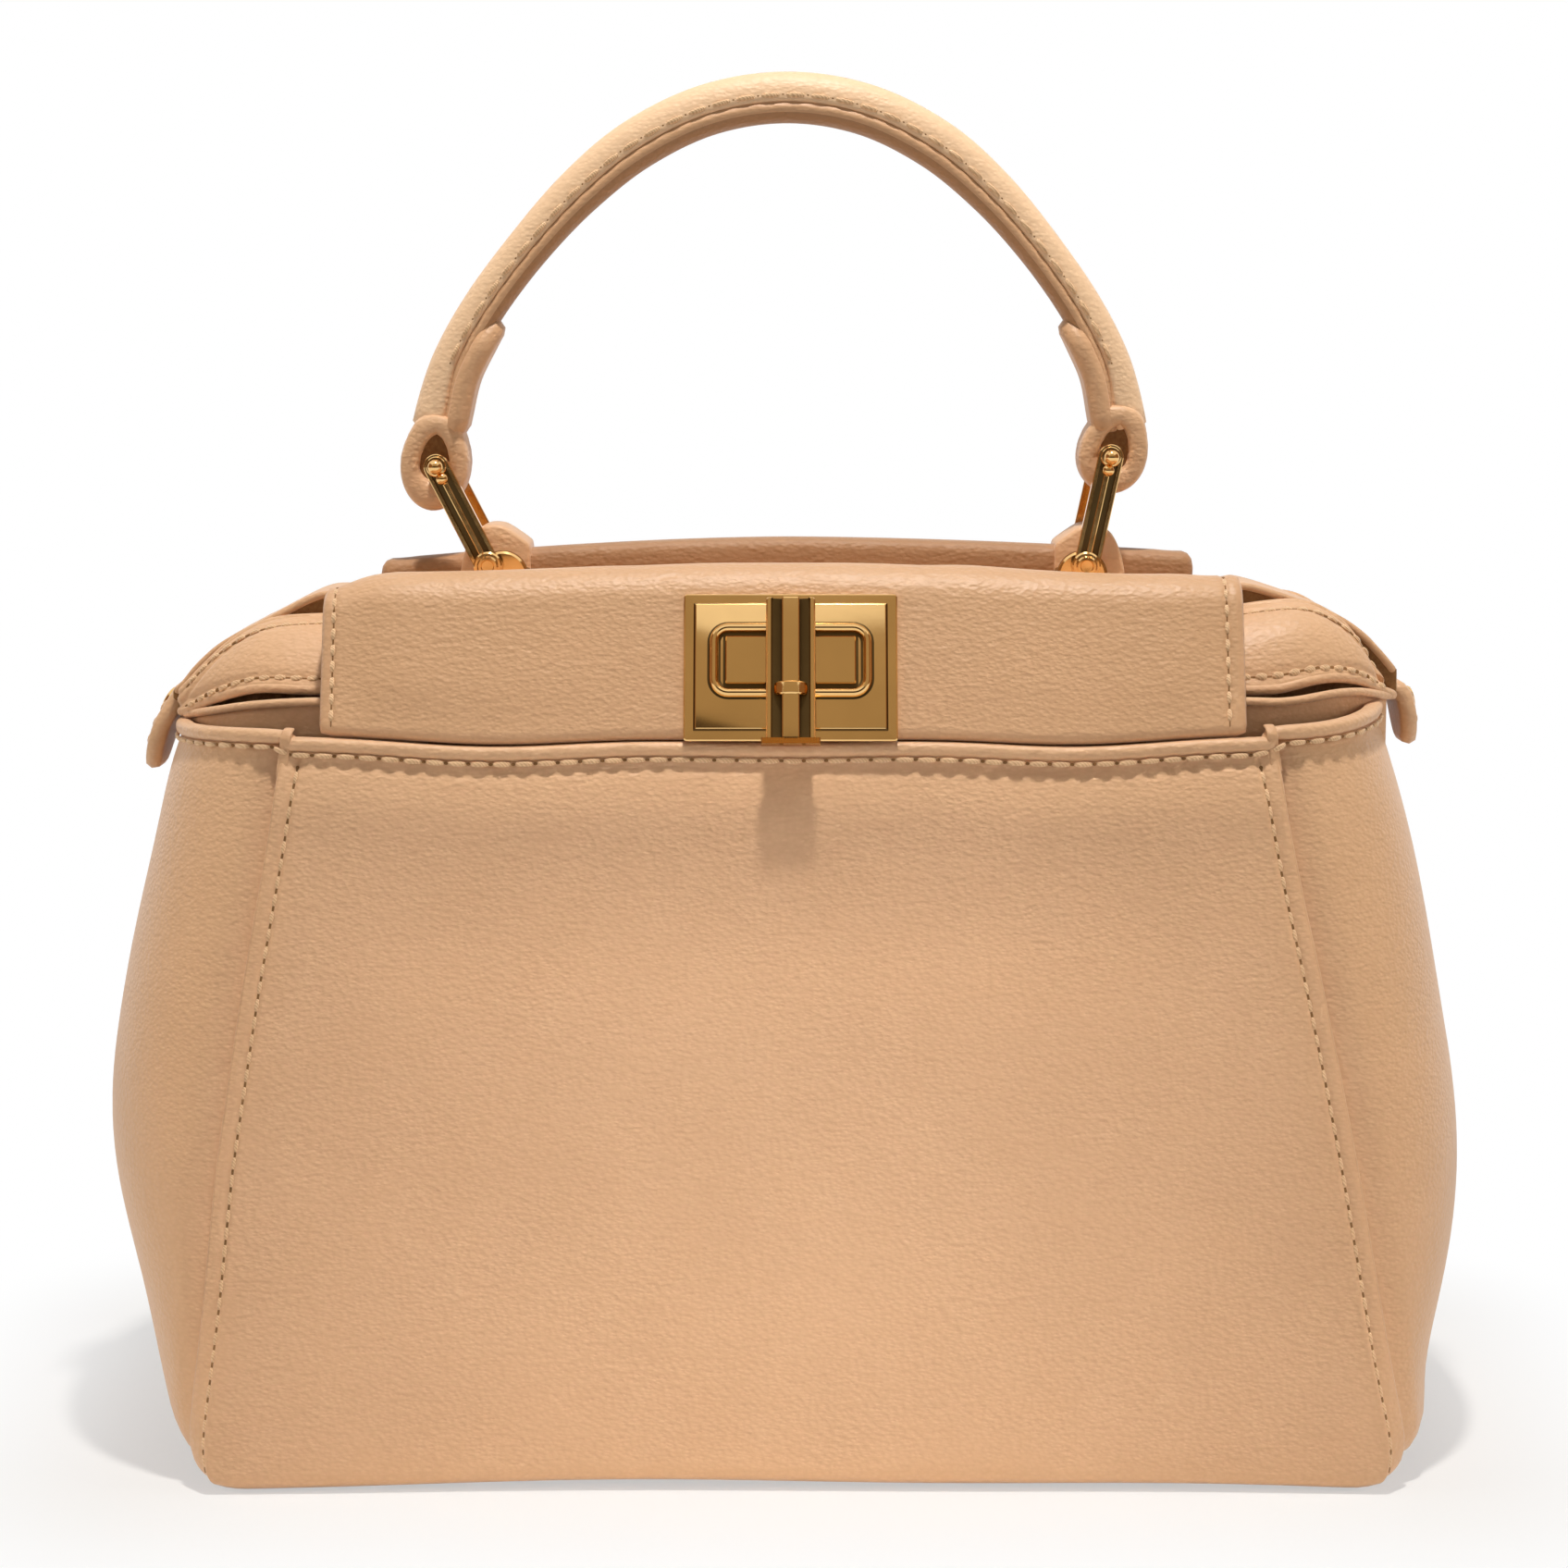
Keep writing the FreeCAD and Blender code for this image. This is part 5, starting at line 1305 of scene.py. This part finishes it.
# Finishes of the CAD parts that stay
KEPT_LOOKS = {"base_board": "board", "divider_board": "suede", "spine_rod": "steel"}
for face, way in FACES:
    KEPT_LOOKS[face + "_lock_backplate"] = "gold"
    KEPT_LOOKS[face + "_lock_screws"] = "steel"
    KEPT_LOOKS[face + "_toggle_post"] = "gold"
for name, look in KEPT_LOOKS.items():
    kept = frame["nodes"][name]
    kept.data.materials.clear()
    kept.data.materials.append(LOOKS[look])

# Floor and light, in metres
FLOOR_HALF, FLOOR_LEVEL, FLOOR_FADE, FLOOR_GLOW = 4.0, -0.0004, 0.07, 0.5
FOOTPRINT = (0.11, 0.05, 1.0)
AMBIENT, WARM, WHITE, PAPER = 0.10, (1, 0.98, 0.95, 1), (1, 1, 1, 1), (0.80, 0.78, 0.75, 1)


def seen_rays(tree):
    """One for rays that show the backdrop itself: to the camera, in metal or through something clear."""
    rays = node(tree, "LightPath").node.outputs
    pair = {0: rays["Is Camera Ray"], 1: rays["Is Glossy Ray"]}
    either = node(tree, "Math", pair, operation="MAXIMUM")
    return node(tree, "Math", {0: either, 1: rays["Is Transmission Ray"]}, operation="MAXIMUM")


def floor_look():
    """Pale floor that keeps the shadow round the bag's foot and fades to the white backdrop."""
    made = bpy.data.materials.new("floor")
    tree = empty_tree(made)
    place = node(tree, "TexCoord", out="Object")
    apart = node(tree, "VectorMath", {0: place}, operation="ABSOLUTE")
    beyond = node(tree, "VectorMath", {0: apart, 1: FOOTPRINT}, operation="SUBTRACT")
    past = node(tree, "VectorMath", {0: beyond, 1: (0, 0, 0)}, operation="MAXIMUM")
    length = node(tree, "VectorMath", {0: past}, "Value", operation="LENGTH")
    limits = {"Value": length, "From Max": FLOOR_FADE, "To Min": FLOOR_GLOW}
    fade = node(tree, "MapRange", limits, interpolation_type="SMOOTHSTEP")
    share = node(tree, "Math", {0: fade, 1: seen_rays(tree)}, operation="MULTIPLY")
    paper = node(tree, "BsdfDiffuse", {"Color": PAPER})
    glow = node(tree, "Emission", {"Color": WHITE})
    mix = node(tree, "MixShader", {"Fac": share, 1: paper, 2: glow})
    node(tree, "OutputMaterial", {"Surface": mix})
    return made


def flat_mesh(name, half_width, half_height, level, material):
    """One rectangle that faces its own +z."""
    mesh = bpy.data.meshes.new(name)
    corners = ((-1, -1), (1, -1), (1, 1), (-1, 1))
    mesh.from_pydata([(x * half_width, y * half_height, level) for x, y in corners], [], [(0, 1, 2, 3)])
    mesh.materials.append(material)
    return mesh


def world_light():
    """White where it is seen, directly or in the metal, and a softer level for everything it lights."""
    world = bpy.data.worlds.new("studio")
    bpy.context.scene.world = world
    tree = empty_tree(world)
    ambient = node(tree, "Background", {"Color": WARM, "Strength": AMBIENT})
    white = node(tree, "Background", {"Color": WHITE, "Strength": 1.0})
    mix = node(tree, "MixShader", {"Fac": seen_rays(tree), 1: ambient, 2: white})
    node(tree, "OutputWorld", {"Surface": mix})


def aim(made, place, target):
    """Puts an object at a place so that its own -z points at a target."""
    made.location = place
    made.rotation_euler = (Vector(target) - Vector(place)).to_track_quat("-Z", "Y").to_euler()


def lamp(name, place, target, size, power, spread=180, mirrored=False):
    light = bpy.data.lights.new(name, "AREA")
    light.shape = "DISK"
    light.size = size
    light.energy = power
    light.spread = math.radians(spread)
    light.color = WARM[:3]
    holder = put(name, light)
    aim(holder, place, target)
    holder.visible_glossy = mirrored


def card(name, place, target, width, height, tone):
    """A dull screen out of the picture, which the polished metal mirrors."""
    made = bpy.data.materials.new(name)
    tree = empty_tree(made)
    glow = node(tree, "Emission", {"Color": tone})
    node(tree, "OutputMaterial", {"Surface": glow})
    screen = put(name, flat_mesh(name, width / 2, height / 2, 0, made))
    aim(screen, place, target)
    screen.visible_camera = False
    screen.visible_diffuse = False
    screen.visible_shadow = False


plane = put("floor", flat_mesh("floor", FLOOR_HALF, FLOOR_HALF, FLOOR_LEVEL, floor_look()))
world_light()
lamp("key", (0.035, -0.16, 0.95), (0, 0, 0.12), 0.06, 6.4, mirrored=True)
lamp("front", (0.0, -1.2, 0.25), (0, 0, 0.08), 0.8, 0.17)
lamp("pool", (0.0, -1.3, 0.2), (0, -0.05, 0.03), 0.2, 0.048, 12)
for side in (-1, 1):
    lamp("side", (side * 1.2, -0.2, 0.4), (side * 0.1, 0, 0.08), 0.6, 4.4)
card("low_screen", (0, -1.6, 0.1), (0, 0, 0.1), 3.0, 1.1, (0.07, 0.05, 0.03, 1))
card("high_screen", (0, -1.7, 1.45), (0, 0, 1.45), 3.0, 1.6, (0.42, 0.34, 0.23, 1))
for side in (-1, 1):
    card("side_screen", (side * 1.6, -0.3, 0.6), (0, 0, 0.6), 2.4, 1.6, (0.26, 0.14, 0.07, 1))

# Camera
LOOK_AT = Vector((-0.0006, 0, 0.121))
CAMERA_DISTANCE, CAMERA_PITCH, LENS, SENSOR = 0.65, math.radians(8), 77.99, 36
camera_data = bpy.data.cameras.new("camera")
camera_data.lens = LENS
camera_data.sensor_width = SENSOR
camera = put("camera", camera_data)
camera.location = LOOK_AT + CAMERA_DISTANCE * Vector((0, -math.cos(CAMERA_PITCH), math.sin(CAMERA_PITCH)))
camera.rotation_euler = (math.pi / 2 - CAMERA_PITCH, 0, 0)
bpy.context.scene.camera = camera
bpy.context.scene.view_settings.view_transform = "Standard"
